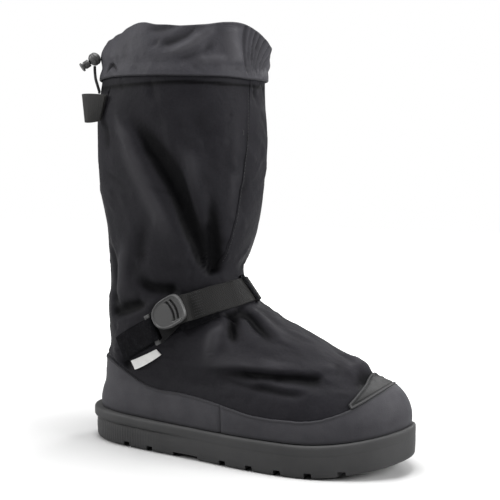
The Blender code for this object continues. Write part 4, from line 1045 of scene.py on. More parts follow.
def rowAtHeight(degrees, height):
    # the row where the form reaches each height at each angle
    rows = np.linspace(18.0, 27.5, 400)
    grid = form(rows[:, None], np.asarray(degrees, float)[None, :])[..., 2]
    return np.array([np.interp(h, grid[:, n], rows) for n, h in enumerate(height)])


def slitLine(samples=60):
    rows = rowAtHeight(pullSlit["degrees"], pullSlit["heights"])
    line = np.column_stack([rows, pullSlit["degrees"]])
    return smoothed(line, np.linspace(0, len(rows) - 1, samples)).T


def slitDepth(points):
    # two raised lips beside the slit and a narrow valley between them
    rows, degrees = slitLine()
    line = form(rows, degrees)
    flat = points.reshape(-1, 3)
    total = np.zeros(len(flat))
    near = nearTo(line, flat, pullSlit["reach"])
    distance = np.linalg.norm(flat[near, None, :] - line[None, :, :], axis=-1).min(axis=1)
    lip = pullSlit["lip"] * np.exp(-(((distance - pullSlit["apart"]) / pullSlit["lipWidth"]) ** 2))
    total[near] = lip - pullSlit["deep"] * np.exp(-((distance / pullSlit["width"]) ** 2))
    return total.reshape(points.shape[:-1])


makeShell()


# The rand, the toe cap and the front flap

rand = {
    "rowCount": 56, "columns": 180, "seam": 90.0, "apart": 0.06, "lowRow": 0.02, "gap": 0.0003,
    "thickness": 0.0013, "round": 0.0010,
    "free": ("high", "first", "last"), "lip": 0.0004, "lipAt": 0.0016, "lipWidth": 0.0009, "contactShadow": 0.0004,
}
toeCap = {
    "rowCount": 84, "columns": 190, "reach": 38.5, "gap": 0.0007, "thickness": 0.0015, "round": 0.0009,
    "free": ("low", "high", "first", "last"), "rows": 1.30, "tipRows": 0.34, "above": -0.04, "leaf": 1.7,
    "lip": 0.0006, "lipAt": 0.0010, "lipWidth": 0.0008, "groove": 0.0009, "grooveAt": 0.0026,
    "grooveWidth": 0.0007,
}
flap = {
    "rowCount": 160, "columns": 60, "halfAngle": 30.0, "belowHem": 0.6, "crowding": 1.4, "narrowing": 20.0,
    "lowRow": 14.0, "topRow": 25.2,
    "gap": 0.0002, "thickness": 0.0005, "round": 0.0010, "edgeShare": 0.2,
}


def makeRand():
    for name, node, first, last in (
        ("randHeel", "rand_heel", -rand["seam"], rand["seam"]),
        ("randToe", "rand_toe", rand["seam"], 360 - rand["seam"]),
    ):
        degrees = np.linspace(first + rand["apart"], last - rand["apart"], rand["columns"])
        top = randRow(degrees)
        low = np.full_like(top, rand["lowRow"])
        patch(name, low, top, degrees, rand, finishes["coated"], node)


def makeToeCap():
    # a leaf across the toe, narrow at both sides, with a raised welded edge
    share = np.linspace(-1, 1, toeCap["columns"])
    degrees = 180.0 + share * toeCap["reach"]
    low = randRow(degrees) + toeCap["above"]
    leaf = (toeCap["rows"] - toeCap["tipRows"]) * (1 - np.abs(share) ** toeCap["leaf"])
    patch("toeCap", low, low + toeCap["tipRows"] + leaf, degrees, toeCap, finishes["bumper"], "toe_cap")


def makeFlap():
    # the storm flap narrows upwards, so each row has its own angles
    rows = np.linspace(flap["lowRow"], flap["topRow"], flap["rowCount"])[:, None]
    share = (rows - rows[0]) / (hemRow - flap["belowHem"] - rows[0])
    reach = flap["halfAngle"] - flap["narrowing"] * share
    side = np.linspace(-1.0, 1.0, flap["columns"])[None, :]
    side = np.sign(side) * (1 - (1 - np.abs(side)) ** flap["crowding"])
    angles = 180.0 + reach * side
    base = skin(rows, angles)
    way = travelled(base, 1)
    far = np.minimum(way, way[:, -1:] - way)
    edgeShare = flap["edgeShare"] + (1 - flap["edgeShare"]) * edgeRound(far, flap["round"])
    rise = flap["gap"] + flap["thickness"] * edgeShare
    normals = formNormals(rows, angles)
    outer, inner = base + normals * rise[..., None], base + normals * sewn["under"]
    made = ringSurface("frontFlap", np.concatenate([outer, inner[::-1]]), finishes["nylon"], "front_flap")
    # painted highlight and shade of the folds, and the painted shadow under the collar's hem
    paintedShading = np.clip(paintedClothShading(rows, angles), -1, 1)
    floatAttribute(made, "paintedShading", np.concatenate([paintedShading, paintedShading[::-1]]))


makeRand()
makeToeCap()
makeFlap()
print("overshoe: rand, toe cap and flap")


# The collar

collar = {
    "rows": 90, "columns": 420, "wall": 0.0012, "gap": 0.0004, "step": 0.0015,
    "rimDegrees": (0, 12, 24, 36, 48, 60, 72, 84, 96, 108, 120, 132, 144, 156, 168, 180, 192, 204, 216,
        228, 240, 252, 270, 300, 324, 336, 348, 360),
    "rimHeight": (0.128, 0.145, 0.171, 0.180, 0.208, 0.234, 0.242, 0.228, 0.222, 0.217, 0.218, 0.230,
        0.229, 0.219, 0.198, 0.175, 0.153, 0.148, 0.150, 0.165, 0.205, 0.225, 0.234, 0.229, 0.198, 0.171,
        0.145, 0.128),
    "hemDegrees": (0, 45, 60, 90, 120, 150, 165, 180, 200, 270, 360),
    "hemDrop": (0.0020, 0.0006, 0.0002, 0.0008, 0.0020, 0.0026, 0.0034, 0.0030, 0.0022, 0.0020, 0.0020),
    "gathers": 27, "gatherDepth": 0.0013, "rimWave": 0.0008, "slack": 0.0005, "paintedShading": 0.0030,
    "sewnAt": 0.0070, "sewnWidth": 0.0022, "sewnDepth": 0.0006,
    "backDegrees": 48.0, "hemHold": 0.012, "hemTroughs": 0.2, "closing": (0.004, 0.012), "closes": 0.75,
    "hemRound": 0.0014, "rimRound": 0.0012, "hemShadowLine": 0.0012,
}


def collarRows(columns):
    # the row of the hem and of the wavy rim at each angle
    turn = np.radians(columns)
    drop = curveThrough(collar["hemDegrees"], collar["hemDrop"], columns)
    hem = rowAtHeight(columns, shoe["hemHeight"] - drop)
    rim = curveThrough(collar["rimDegrees"], collar["rimHeight"], columns)
    rim = shoe["hemHeight"] + rim * (shoe["hemHeight"] - shoe["throatHeight"])
    back = np.exp(-((np.minimum(columns, 360 - columns) / collar["backDegrees"]) ** 4))
    waves = np.sin(13 * turn) * (0.35 + 0.65 * back) + 0.4 * np.sin(29 * turn + 1.1) * back
    rim = rim + collar["rimWave"] * waves
    span = np.linspace(24.0, 29.0, 200)
    grid = form(span[:, None], columns[None, :])[..., 2]
    rimRow = np.array([np.interp(h, grid[:, n], span) for n, h in enumerate(rim)])
    return hem, rimRow, back


def makeCollar():
    # a thin wall round the shaft's top: it stands a step off the shell at its hem and closes in above it
    columns = np.arange(collar["columns"]) * 360.0 / collar["columns"]
    hem, rimRow, back = collarRows(columns)
    share = np.linspace(0.0, 1.0, collar["rows"])[:, None]
    rows = hem + (rimRow - hem) * share
    angles = np.broadcast_to(columns[None, :], rows.shape)
    turn = np.radians(angles)
    points = form(rows, angles)
    depth = foldDepths(points, collarLines)
    up = (points[..., 2] - points[:1, :, 2])
    # gathers under the elastic at the back, and a soft slack all round
    gather = np.sin(collar["gathers"] * turn + 1.4 * np.sin(7 * turn))
    depth = depth + collar["gatherDepth"] * gather * back * smoothStep(0.15, 0.9,
        share) * (0.45 + 0.55 * share)
    depth = depth + collar["slack"] * np.sin(9 * turn + 3.0 * share) * smoothStep(0.1, 0.6, share)
    depth = depth * smoothStep(0.0, collar["hemHold"], up) + np.minimum(depth, 0) * collar["hemTroughs"]
    closing = smoothStep(*collar["closing"], up)
    step = collar["gap"] + collar["step"] * (1 - collar["closes"] * closing)
    hemEdge = edgeRound(up + 0.0001, collar["hemRound"])
    rimEdge = edgeRound(points[-1:, :, 2] - points[..., 2] + 0.00005, collar["rimRound"])
    normals = formNormals(rows, angles)
    wall = collar["wall"] * (0.15 + 0.85 * np.minimum(hemEdge, rimEdge))
    outer = points + normals * (step + depth + wall)[..., None]
    # inside, the collar comes down on the shell a little above its hem, which closes the space between them
    joined = np.exp(-(((up - collar["sewnAt"]) / collar["sewnWidth"]) ** 2))
    lift = (step + depth) * (1 - joined) - collar["sewnDepth"] * joined
    every = np.append(np.arange(0, collar["rows"] - 1, 3), collar["rows"] - 1)
    inner = points[every] + normals[every] * lift[every][..., None]
    ring = np.concatenate([outer, inner[::-1]])
    made = ringSurface("snowCollar", ring, finishes["collar"], "collar", around=True)
    # a painted shadow line along the collar's lower edge, and painted highlight and shade by the folds'
    # depth
    hemShadowLine = np.exp(-((up / collar["hemShadowLine"]) ** 2))
    paintedShading = np.clip(depth / collar["paintedShading"], -1, 1) * (1 - hemShadowLine) - hemShadowLine
    floatAttribute(made, "paintedShading", np.concatenate([paintedShading, 0 * inner[..., 0]]))


makeCollar()
print("overshoe: collar")


# Webbing strap, hook-and-loop backing and label

strap = {
    "width": 0.0245, "thickness": 0.0018, "gap": 0.0006, "stations": 26, "fine": 150,
    "overBacking": 0.0030, "downOver": (140.0, 152.0), "held": (-0.20, 0.15, 0.45),
}
backing = {"width": 0.0250, "thickness": 0.0015, "gap": 0.0004, "stations": 16, "fine": 90}
buckle = {
    "leverDegrees": 104.5, "leverRow": 11.93, "barDegrees": 85.5, "barRow": 10.88, "lift": 0.0042,
    "basePlate": 0.0018, "leverLength": 0.0315, "leverThickness": 0.0046, "clampSpace": 0.0030,
    "fitGap": 0.0003,
    "baseWidth": 0.0290, "baseNarrow": 0.0180, "frameLength": 0.0120, "turn": 10.0, "bar": 0.0030,
    "frontShare": 0.36, "soft": 0.0005, "paleEnd": 0.0038, "paleAcross": 0.9,
}


def bandFrames(route, stations, width, gap, lifts):
    # centre line of a flat band over the shell: at each station it spans straight from edge to edge,
    # over whatever bulges between them
    path = np.linspace(route["degrees"][0], route["degrees"][-1], stations)
    pathRows = curveThrough(route["degrees"], route["row"], path)
    centre = form(pathRows, path)
    ahead = unit(np.gradient(centre, axis=0))
    half = 30
    reach = np.linspace(-3.0, 3.0, 2 * half + 1)[None, :]
    rows = np.clip(pathRows[:, None] + reach, 0, shell["top"])
    strip = form(rows, np.broadcast_to(path[:, None], rows.shape))
    speed = np.linalg.norm(np.gradient(centre, axis=0), axis=1) / abs(path[1] - path[0])
    slide = np.einsum("sij,sj->si", strip - centre[:, None, :], ahead)
    strip = form(rows, path[:, None] - slide / speed[:, None])
    run = travelled(strip, 1)
    run = run - run[:, half : half + 1]
    ends = []
    for edge in (-width / 2, width / 2):
        ends.append(np.array([sampled(line, marks, edge) for line, marks in zip(strip, run)]))
    across = unit(ends[1] - ends[0])
    out = unit(np.cross(ahead, across))
    facing = np.einsum("si,si->s", out, formNormals(pathRows, path))
    out = out * np.sign(facing)[:, None]
    middle = (ends[0] + ends[1]) / 2
    proud = np.einsum("sij,sj->si", strip - middle[:, None, :], out)
    proud = np.where(np.abs(run) <= width / 2, proud, 0.0).max(axis=1)
    base = middle + out * (proud + gap + lifts)[:, None]
    return base, across, out


def tapeLoop(base, across, out, width, thickness, fine):
    # a flat cross-section with round edges, carried along a smooth path through the stations
    at = np.linspace(0, len(base) - 1, fine)
    base, across, out = smoothed(base, at), unit(smoothed(across, at)), unit(smoothed(out, at))
    turn = np.linspace(0, np.pi, 9)[1:-1]
    edge = thickness / width
    side = np.linspace(-1, 1, 15) * (1 - edge)
    corner = 1 - edge + edge * np.sin(turn)
    y = np.concatenate([side, corner, side[::-1], -corner]) * width / 2
    rise = 0.5 * np.cos(turn)
    z = np.concatenate([1 + 0 * side, 0.5 + rise, 0 * side, 0.5 - rise]) * thickness
    return base[None] + across[None] * y[:, None, None] + out[None] * z[:, None, None]


def buckleFrame():
    # X along the strap towards the front, Z outwards
    places = [(buckle[n + "Row"], buckle[n + "Degrees"]) for n in ("lever", "bar")]
    leverAt, barAt = (Vector(form(row, degrees)) for row, degrees in places)
    chord = (leverAt - barAt).normalized()
    out = sum((Vector(formNormals(row, degrees)) for row, degrees in places), Vector())
    out = (out - chord * out.dot(chord)).normalized()
    ahead = Vector(form(strapRoute["row"][0], strapRoute["degrees"][0])) - leverAt
    along = (ahead - out * ahead.dot(out)).normalized()
    across = out.cross(along)
    turned = Matrix((along, across, out)).transposed().to_4x4()
    place = Matrix.Translation(leverAt + out * buckle["lift"]) @ turned
    return place, ((barAt - leverAt).dot(along), (barAt - leverAt).dot(across))


bucklePlace, barPlace = buckleFrame()


def onBuckle(points):
    matrix = np.array(bucklePlace)
    return points @ matrix[:3, :3].T + matrix[:3, 3]


def makeStrap():
    angles = np.linspace(strapRoute["degrees"][0], strapRoute["degrees"][-1], strap["stations"])
    lifts = strap["overBacking"] * (1 - smoothStep(*strap["downOver"], angles))
    base, across, out = bandFrames(strapRoute, strap["stations"], strap["width"], strap["gap"], lifts)
    axes = np.array(bucklePlace)[:3, :3]
    floor = buckle["basePlate"] + buckle["fitGap"]
    held = onBuckle(np.array([(x * buckle["leverLength"], 0.0, floor) for x in strap["held"]]))
    if np.dot(axes[:, 1], across[0]) < 0:
        across = -across
    three = np.ones((3, 1))
    base = np.concatenate([held, base])
    across = np.concatenate([three * axes[:, 1], across])
    out = np.concatenate([three * axes[:, 2], out])
    ring = tapeLoop(base, across, out, strap["width"], strap["thickness"], strap["fine"])
    ringSurface("ankleStrap", ring, finishes["webbing"], "ankle_strap")
    return base, across, out


def makeBacking():
    base, across, out = bandFrames(backingRoute, backing["stations"], backing["width"], backing["gap"], 0.0)
    ring = tapeLoop(base, across, out, backing["width"], backing["thickness"], backing["fine"])
    ringSurface("strapBacking", ring, finishes["hookLoop"], "strap_backing")
    return base, across, out


label = {
    "degrees": (54.0, 77.5), "top": (7.10, 8.42), "bottom": (5.72, 7.66), "rowCount": 26, "columns": 50,
    "gap": 0.0006, "thickness": 0.0008, "curl": 0.0012,
}


def makeLabel():
    # a blank woven tab, sewn along its upper edge, its lower edge curling off the shell
    degrees = np.linspace(*label["degrees"], label["columns"])
    low, high = (np.interp(degrees, label["degrees"], label[edge]) for edge in ("bottom", "top"))
    s = np.linspace(0, 1, label["rowCount"])[:, None]
    rows = low + (high - low) * s
    base, normals = form(rows, degrees), formNormals(rows, degrees)
    curl = label["curl"] * (1 - s) ** 2 * (0.6 + 0.4 * np.sin(np.linspace(0, 5, len(degrees))))[None, :]
    outer = base + normals * (label["gap"] + label["thickness"] + curl)[..., None]
    inner = base + normals * (label["gap"] + curl)[..., None]
    ringSurface("labelTab", np.concatenate([outer, inner[::-1]]), finishes["label"], "label_tab")


strapPath = makeStrap()
backingPath = makeBacking()
makeLabel()
print("overshoe: strap, backing and label")


# The cam buckle

# the section runs from under the middle up the side wall and over the bevelled rim onto the dished top
lever = {
    "under": (0.02, 0.5, 0.90), "wall": (0.955, 1.0), "wallHeights": (0.02, 0.10, 0.30, 0.52),
    "rim": (1.0, 0.90), "top": (0.885, 0.02), "topRings": 46, "corners": (0.45, 0.62, 0.88),
    "dishFrom": (0.90, 0.83), "paleRim": (0.95, 0.05, 0.8), "paleAbove": 0.3, "slotEnds": 0.88,
    "slotSides": 0.45, "firstTurn": 0.013,
    "length": 0.0345, "width": 0.0268, "turn": 11.0, "dish": 0.0010, "bow": 0.0042,
    "slotWidth": 0.0014, "slotDepth": 0.0015, "slots": (0.0054, 0.0096), "slotReach": 0.0100,
}


def shieldOutline(turn, length, width):
    # round towards the heel, blunt and slightly bowed towards the strap
    c, s = np.cos(turn), np.sin(turn)
    front, frontSide, backSide = lever["corners"]
    x = np.sign(c) * np.abs(c) ** np.where(c > 0, front, 1.0) * length / 2
    return x, np.sign(s) * np.abs(s) ** np.where(c > 0, frontSide, backSide) * width / 2


def makeLever():
    turn = np.linspace(0, 2 * np.pi, 121)[:-1] + lever["firstTurn"]
    length, width = lever["length"], lever["width"]
    thick = buckle["leverThickness"]
    floor = buckle["basePlate"] + buckle["clampSpace"]
    # at each ring, its share of the outline and its share of the height
    low, rimTop = lever["wallHeights"], np.linspace(0.0, 1.0, 8)[1:]
    wall, rim = np.linspace(*lever["wall"], len(low)), np.linspace(*lever["rim"], 8)[1:]
    shares = np.concatenate([lever["under"], wall, rim, np.linspace(*lever["top"], lever["topRings"])])
    bevel = low[-1] + (1 - low[-1]) * np.sin(rimTop * np.pi / 2)
    heights = np.concatenate([np.zeros(len(lever["under"])), low, bevel, np.ones(lever["topRings"])])
    x, y = shieldOutline(turn, length, width)
    x, y = shares[:, None] * x[None, :], shares[:, None] * y[None, :]
    onTop = (heights >= 1.0)[:, None]
    z = heights[:, None] * thick - smoothStep(*lever["dishFrom"], shares)[:, None] * onTop * lever["dish"]
    bow = x + lever["bow"] * (y / (width / 2)) ** 2
    slot = np.zeros_like(x)
    for at in lever["slots"]:
        inside = smoothStep(lever["slotReach"], lever["slotReach"] * lever["slotEnds"], np.abs(y))
        cut = smoothStep(lever["slotWidth"], lever["slotWidth"] * lever["slotSides"], np.abs(bow - at))
        slot = np.maximum(slot, inside * cut)
    z = z - slot * lever["slotDepth"] * onTop
    c, s = math.cos(math.radians(lever["turn"])), math.sin(math.radians(lever["turn"]))
    points = onBuckle(np.stack([c * x - s * y, s * x + c * y, floor + z], axis=-1))
    made = turnedSurface("buckleLever", points, finishes["plastic"], "buckle_lever")
    # the rim's paler band is a painted highlight, and the slots get painted shade
    at, wide, strength = lever["paleRim"]
    rim = np.exp(-(((shares - at) / wide) ** 2)) * (heights > lever["paleAbove"])
    floatAttribute(made, "edge", np.repeat(rim[:, None], len(turn), axis=1).T * strength)
    floatAttribute(made, "slotShade", (slot * onTop).T)


def makeBase():
    # a flat frame: the CAD plate's outline with its slot, bevelled
    turn = math.radians(buckle["turn"])
    c, s = math.cos(turn), math.sin(turn)
    half, bar = buckle["baseWidth"] / 2, buckle["bar"]
    front, length = buckle["leverLength"] * buckle["frontShare"], buckle["frameLength"]

    def fromBar(x, y):
        return barPlace[0] + x * c - y * s, barPlace[1] + x * s + y * c

    # the slot's loop has as many corners as the outline's, two of them doubled
    outer = [fromBar(-bar, -half), fromBar(length - bar, -half), (front, -buckle["baseNarrow"] / 2)]
    outer += [(front, buckle["baseNarrow"] / 2), fromBar(length - bar, half), fromBar(-bar, half)]
    near, far = fromBar(length - 2 * bar, bar - half), fromBar(length - 2 * bar, half - bar)
    inner = [fromBar(bar / 2, bar - half), near, near, far, far, fromBar(bar / 2, half - bar)]
    outer, inner = (evenLoop(np.array(loop)) for loop in (outer, inner))
    sections = []
    for share, z in ((0.0, 0.0), (0.0, 1.0), (1.0, 1.0), (1.0, 0.0)):
        loop = outer + (inner - outer) * share
        sections.append(np.column_stack([loop, np.full(len(loop), z * buckle["basePlate"])]))
    ring = onBuckle(np.array(sections))
    made = ringSurface("buckleBase", ring, finishes["frame"], "buckle_base", around=True)
    bevel = made.modifiers.new("softEdges", "BEVEL")
    bevel.width, bevel.segments = buckle["soft"], 3
    bevel.limit_method, bevel.angle_limit = "ANGLE", math.radians(40)
    # the bar's two ends are painted pale, a painted highlight
    loops = np.array(sections)[..., :2] - np.array(barPlace)
    alongBar = np.abs(loops @ np.array((-s, c)))
    ahead = loops @ np.array((c, s))
    floatAttribute(made, "edge",
        (alongBar > half - buckle["paleEnd"]) & (ahead < bar * buckle["paleAcross"]))


def evenLoop(corners, each=10):
    # points along the straight sides of a loop, as many on each side
    ahead = np.roll(corners, -1, axis=0)
    share = (np.arange(each) / each)[None, :, None]
    return (corners[:, None, :] * (1 - share) + ahead[:, None, :] * share).reshape(-1, 2)


# the backing's end, which comes up over the frame's bar and goes back under it: how far it lies from the
# bar towards the front, its height over the frame's underside, and which way it faces
barLoop = {
    "from": (-0.0060, -0.0030, 0.0004, 0.0021, 0.0024, 0.0010, -0.0030, -0.0085),
    "height": (0.0013, 0.0022, 0.0023, 0.0013, -0.0002, -0.0006, -0.0007, -0.0012),
    "facing": (100.0, 92.0, 75.0, 20.0, -25.0, -80.0, -90.0, -90.0),
    "width": 0.0215, "thickness": 0.0011, "fine": 80,
}
# a rounded box in section; the steps are along and outwards, as shares of its length and of its thickness
keeper = {
    "steps": ((-0.5, 0.2), (-0.42, 0.8), (-0.25, 1.0), (0.25, 1.0), (0.42, 0.8), (0.5, 0.2), (0.3, 0.0),
        (-0.3, 0.0)),
    "corner": 0.2, "at": 0.42, "length": 0.0050, "wide": 0.0134, "high": 0.0021, "thickness": 0.0009,
    "samples": 96,
}


def makeBarLoop(base, across, out):
    turn = math.radians(buckle["turn"])
    axes = np.array(bucklePlace)[:3, :3]
    ahead = axes[:, 0] * math.cos(turn) + axes[:, 1] * math.sin(turn)
    side = axes[:, 1] * math.cos(turn) - axes[:, 0] * math.sin(turn)
    start = onBuckle(np.array([(*barPlace, 0.0)]))[0]
    shift, height = np.array(barLoop["from"])[:, None], np.array(barLoop["height"])[:, None]
    face = np.radians(barLoop["facing"])[:, None]
    wrap = start + ahead * shift + axes[:, 2] * height
    wrapOut = ahead * np.cos(face) + axes[:, 2] * np.sin(face)
    if np.dot(across[2], side) < 0:
        side = -side
    lead = base[1:4] + out[1:4] * (backing["thickness"] + 0.0002)
    base = np.concatenate([lead, wrap])
    across = np.concatenate([across[1:4], np.repeat(side[None], len(wrap), axis=0)])
    out = np.concatenate([out[1:4], wrapOut])
    ring = tapeLoop(base, across, out, barLoop["width"], barLoop["thickness"], barLoop["fine"])
    ringSurface("backingLoop", ring, finishes["hookLoop"], None)


def makeKeeper(base, across, out):
    # a narrow black band round the strap
    marks, spot = np.arange(len(base)), keeper["at"] * (len(base) - 1)
    middle, side, face = (sampled(line, marks, spot) for line in (base, across, out))
    side, face = unit(side), unit(face)
    ahead = np.cross(side, face)
    turn = np.arange(keeper["samples"]) * 2 * np.pi / keeper["samples"]
    c, s = np.cos(turn), np.sin(turn)
    lines = []
    for along, rise in keeper["steps"]:
        grow = keeper["thickness"] * rise
        y = np.sign(c) * np.abs(c) ** keeper["corner"] * (keeper["wide"] + grow)
        z = np.sign(s) * np.abs(s) ** keeper["corner"] * (keeper["high"] + grow) + strap["thickness"] / 2
        lines.append(middle + ahead * along * keeper["length"] + side * y[:, None] + face * z[:, None])
    ringSurface("strapKeeper", np.array(lines), finishes["hookLoop"], None, around=True)


makeLever()
makeBase()
makeBarLoop(*backingPath)
makeKeeper(*strapPath)
print("overshoe: buckle")


# Pull loop, drawcord and cord lock

pullLoop = {
    "width": 0.0250, "thickness": 0.0015, "stand": 0.0020, "reach": 0.0185, "swell": 0.0058,
    "height": 0.3105, "ends": (44.0, 54.0),
}
loopShape = {
    "along": (0.0, 0.300, 0.650, 0.900, 0.985, 1.000, 0.985, 0.900, 0.650, 0.300, 0.000),
    "aside": (0.0, 0.00, 0.02, 0.10, 0.28, 0.50, 0.75, 0.95, 1.00, 0.72, 0.36),
}


def makePullLoop():
    heights = [pullLoop["height"] + side * pullLoop["width"] / 2 for side in (-1, 1)]
    rows = rowAtHeight(pullLoop["ends"], heights)
    slit = form(rows, pullLoop["ends"])
    tip = slit.mean(axis=0) - (pullLoop["reach"], 0, 0)
    near = pullLoop["stand"] + pullLoop["thickness"] / 2
    marks, at = np.arange(len(loopShape["along"])), np.linspace(0, len(loopShape["along"]) - 1, 90)
    along = curveThrough(marks, loopShape["along"], at)[:, None]
    aside = near + curveThrough(marks, loopShape["aside"], at)[:, None] * pullLoop["swell"]
    edges = []
    for start in slit:
        way = np.array([tip[0], tip[1], start[2]]) - start
        beside = unit(np.array([way[1], -way[0], 0.0]))
        edges.append(start + way * along + beside * (-aside if beside[1] > 0 else aside))
    base, across = (edges[0] + edges[1]) / 2, unit(edges[1] - edges[0])
    out = unit(np.cross(np.gradient(base, axis=0), across))
    width = np.linalg.norm(edges[1] - edges[0], axis=1).mean()
    ring = tapeLoop(base - out * pullLoop["thickness"] / 2, across, out, width, pullLoop["thickness"], 130)
    ringSurface("pullLoop", ring, finishes["loopWeb"], "pull_loop")


drawcord = {
    "diameter": 0.0022,
    "route": (
        (-0.04427, -0.04145, 0.34896), (-0.04439, -0.04096, 0.34311), (-0.04417, -0.04017, 0.33722),
        (-0.04313, -0.03846, 0.33076), (-0.04218, -0.03774, 0.32656), (-0.04157, -0.03863, 0.32554),
        (-0.04087, -0.03945, 0.32554), (-0.04014, -0.04016, 0.32656), (-0.04063, -0.04142, 0.33076),
        (-0.04183, -0.04293, 0.33722), (-0.04207, -0.04371, 0.34311), (-0.04195, -0.04420, 0.34896),
    ),
}
cordLock = {
    "body": (-0.04311, -0.04282, 0.35526), "slant": (-0.62725, -0.52989, -0.57077), "radius": 0.0060,
    "plungerRadius": 0.0041, "plungerLength": 0.0085,
    # the plunger's outline, as shares of its length and of its radius
    "plunger": (
        (0, 0.05), (0, 0.80), (0.04, 0.86), (0.56, 0.86), (0.60, 0.80), (0.66, 0.66), (0.74, 0.66),
        (0.77, 0.90), (0.80, 1.0), (0.90, 1.0), (0.97, 0.94), (1.0, 0.80), (1.0, 0.05),
    ),
}


def makeCord(lockPieces):
    route = smoothed(drawcord["route"], np.linspace(0, len(drawcord["route"]) - 1, 45))
    curve = bpy.data.curves.new("drawcord", "CURVE")
    curve.dimensions, curve.bevel_depth, curve.bevel_resolution = "3D", drawcord["diameter"] / 2, 4
    curve.use_fill_caps = True
    line = curve.splines.new("POLY")
    line.points.add(len(route) - 1)
    line.points.foreach_set("co", np.column_stack([route, np.ones(len(route))]).ravel())
    curve.materials.append(finishes["cord"])
    made = addObject("elasticDrawcord", curve)
    dress(made, "drawcord")


def turnedAlong(name, profile, start, axis, node, sides=48):
    # a profile of (height, radius) turned round an axis
    profile = np.array(profile)
    frameOf = Vector(axis).to_track_quat("Z", "Y").to_matrix()
    turn = np.arange(sides) * 2 * np.pi / sides
    height, radius = profile[:, :1], profile[:, 1:]
    rings = np.stack([radius * np.cos(turn), radius * np.sin(turn), np.repeat(height, sides, axis=1)],
        axis=-1)
    rings = rings @ np.array(frameOf).T + np.array(start)
    made = turnedSurface(name, rings, finishes["plastic"], node)
    floatAttribute(made, "edge", np.repeat(radius / radius.max() > 0.93, sides, axis=1).T * 0.4)
    return made


def makeCordLock():
    radius, axis = cordLock["radius"], unit(np.array(cordLock["slant"]))
    around = np.linspace(0.06, 0.94, 26) * np.pi
    ball = np.column_stack([-0.92 * radius * np.cos(around), radius * np.sin(around)])
    ball[:, 1] *= 1 - 0.06 * np.exp(-((ball[:, 0] / (radius * 0.12)) ** 2))
    body = turnedAlong("cordLockBody", ball, cordLock["body"], axis, "cord_lock_body")
    r, length = cordLock["plungerRadius"], cordLock["plungerLength"]
    start = np.array(cordLock["body"]) + axis * (0.92 * radius + 0.0003)
    plunger = turnedAlong("cordLockPlunger", [(h * length, s * r) for h, s in cordLock["plunger"]], start,
        axis, "cord_lock_plunger")
    return [body, plunger]


makePullLoop()
makeCord(makeCordLock())
print("overshoe: pull loop, cord and lock")


# Outsole and insole

outsole = {
    "columns": 240, "bead": 0.0022, "lugPitch": 0.0268, "lugGap": 0.0062,
    "lugDepth": 0.0052, "firstHeelGap": 0.0546, "archStart": 0.1080, "archEnd": 0.1345, "archLift": 0.0042,
    "centreLug": 0.034, "centreGroove": 0.0045, "gapFlare": 0.0012,
    # along the centre grooves: where they start (metres), where they end and how deep they go (shares)
    "grooveFrom": 0.02, "grooveTo": 0.86, "grooveDepth": 0.6, "beadEnds": (0.24, 0.42),
    # pale edges: height share, width and strength; then where the ribs are, up the wall and from the heel
    "paleEdges": ((0.03, 0.05, 1.0), (0.985, 0.04, 0.3)), "ribbedUp": (0.1, 0.64),
    "ribbedAlong": (0.06, 0.11),
}
# height share of the side wall, how far it is drawn in (metres), and share of the heel's bead
soleProfile = {
    "height": (0.0, 0.012, 0.045, 0.09, 0.14, 0.30, 0.45, 0.60, 0.648, 0.663, 0.679, 0.70, 0.74, 0.80,
        0.88, 0.95, 0.985, 1.0),
    "inset": (0.0046, 0.0030, 0.0016, 0.0007, 0.0004, 0.0001, 0.0, 0.0, 0.0001, 0.0001, 0.0001, 0.0, 0.0,
        0.0, 0.0, 0.0001, 0.0006, 0.0016),
    "bead": (0, 0, 0, 0, 0, 0, 0, -0.15, -0.55, -0.60, -0.20, 0.60, 0.97, 1.0, 1.0, 1.0, 0.95, 0.70),
}


def soleRings(height, inset, bead):
    # the sole's outline, moved in or out square to itself, at a share of the sole's height
    turn = np.arange(outsole["columns"]) * 2 * np.pi / outsole["columns"]
    along = (1 - np.cos(turn)) / 2
    outer = np.sin(turn) >= 0
    half = shoe["ballWidth"] / 2 * np.where(outer, soleShare(along, "lateral"), soleShare(along, "medial"))
    x = along * shoe["soleLength"]
    line = np.stack([x, np.where(outer, -half, half)], axis=-1)
    way = np.roll(line, -2, axis=0) - np.roll(line, 2, axis=0)
    outward = unit(np.stack([way[:, 1], -way[:, 0]], axis=-1))
    outward = outward * (-1 if outward[0, 0] > 0 else 1)
    heel = 1 - smoothStep(*outsole["beadEnds"], along)
    shift = np.asarray(bead)[:, None] * outsole["bead"] * heel - np.asarray(inset)[:, None]
    line = line[None] + outward[None] * shift[..., None]
    z = np.asarray(height)[:, None] * (shoe["soleHeight"] + seatRise(x) - soleSpring(x)) + soleSpring(x)
    return np.concatenate([line - (shoe["heelToOrigin"], 0), z[..., None]], axis=-1)


boxFaces = ((3, 2, 1, 0), (4, 5, 6, 7), (0, 1, 5, 4), (1, 2, 6, 5), (2, 3, 7, 6), (3, 0, 4, 7))


def wedgeCutter(name, cuts):
    # boxes that widen downwards, all in one mesh that only cuts
    points, faces = [], []
    for n, (low, high, flare) in enumerate(cuts):
        for z, grow in ((low[2], flare), (high[2], 0.0)):
            near, far = low[0] - grow, high[0] + grow
            points += [(near, low[1], z), (far, low[1], z), (far, high[1], z), (near, high[1], z)]
        faces += [tuple(8 * n + k for k in face) for face in boxFaces]
    mesh = bpy.data.meshes.new(name)
    mesh.from_pydata(points, [], faces)
    return addObject(name, mesh)


def biteOut(made, cutter):
    bite = made.modifiers.new("bite", "BOOLEAN")
    bite.operation, bite.solver, bite.object, bite.use_self = "DIFFERENCE", "EXACT", cutter, True
    bpy.context.view_layer.update()
    solved = bpy.data.meshes.new_from_object(made.evaluated_get(bpy.context.evaluated_depsgraph_get()))
    made.modifiers.clear()
    made.data = solved
    bpy.data.objects.remove(cutter)


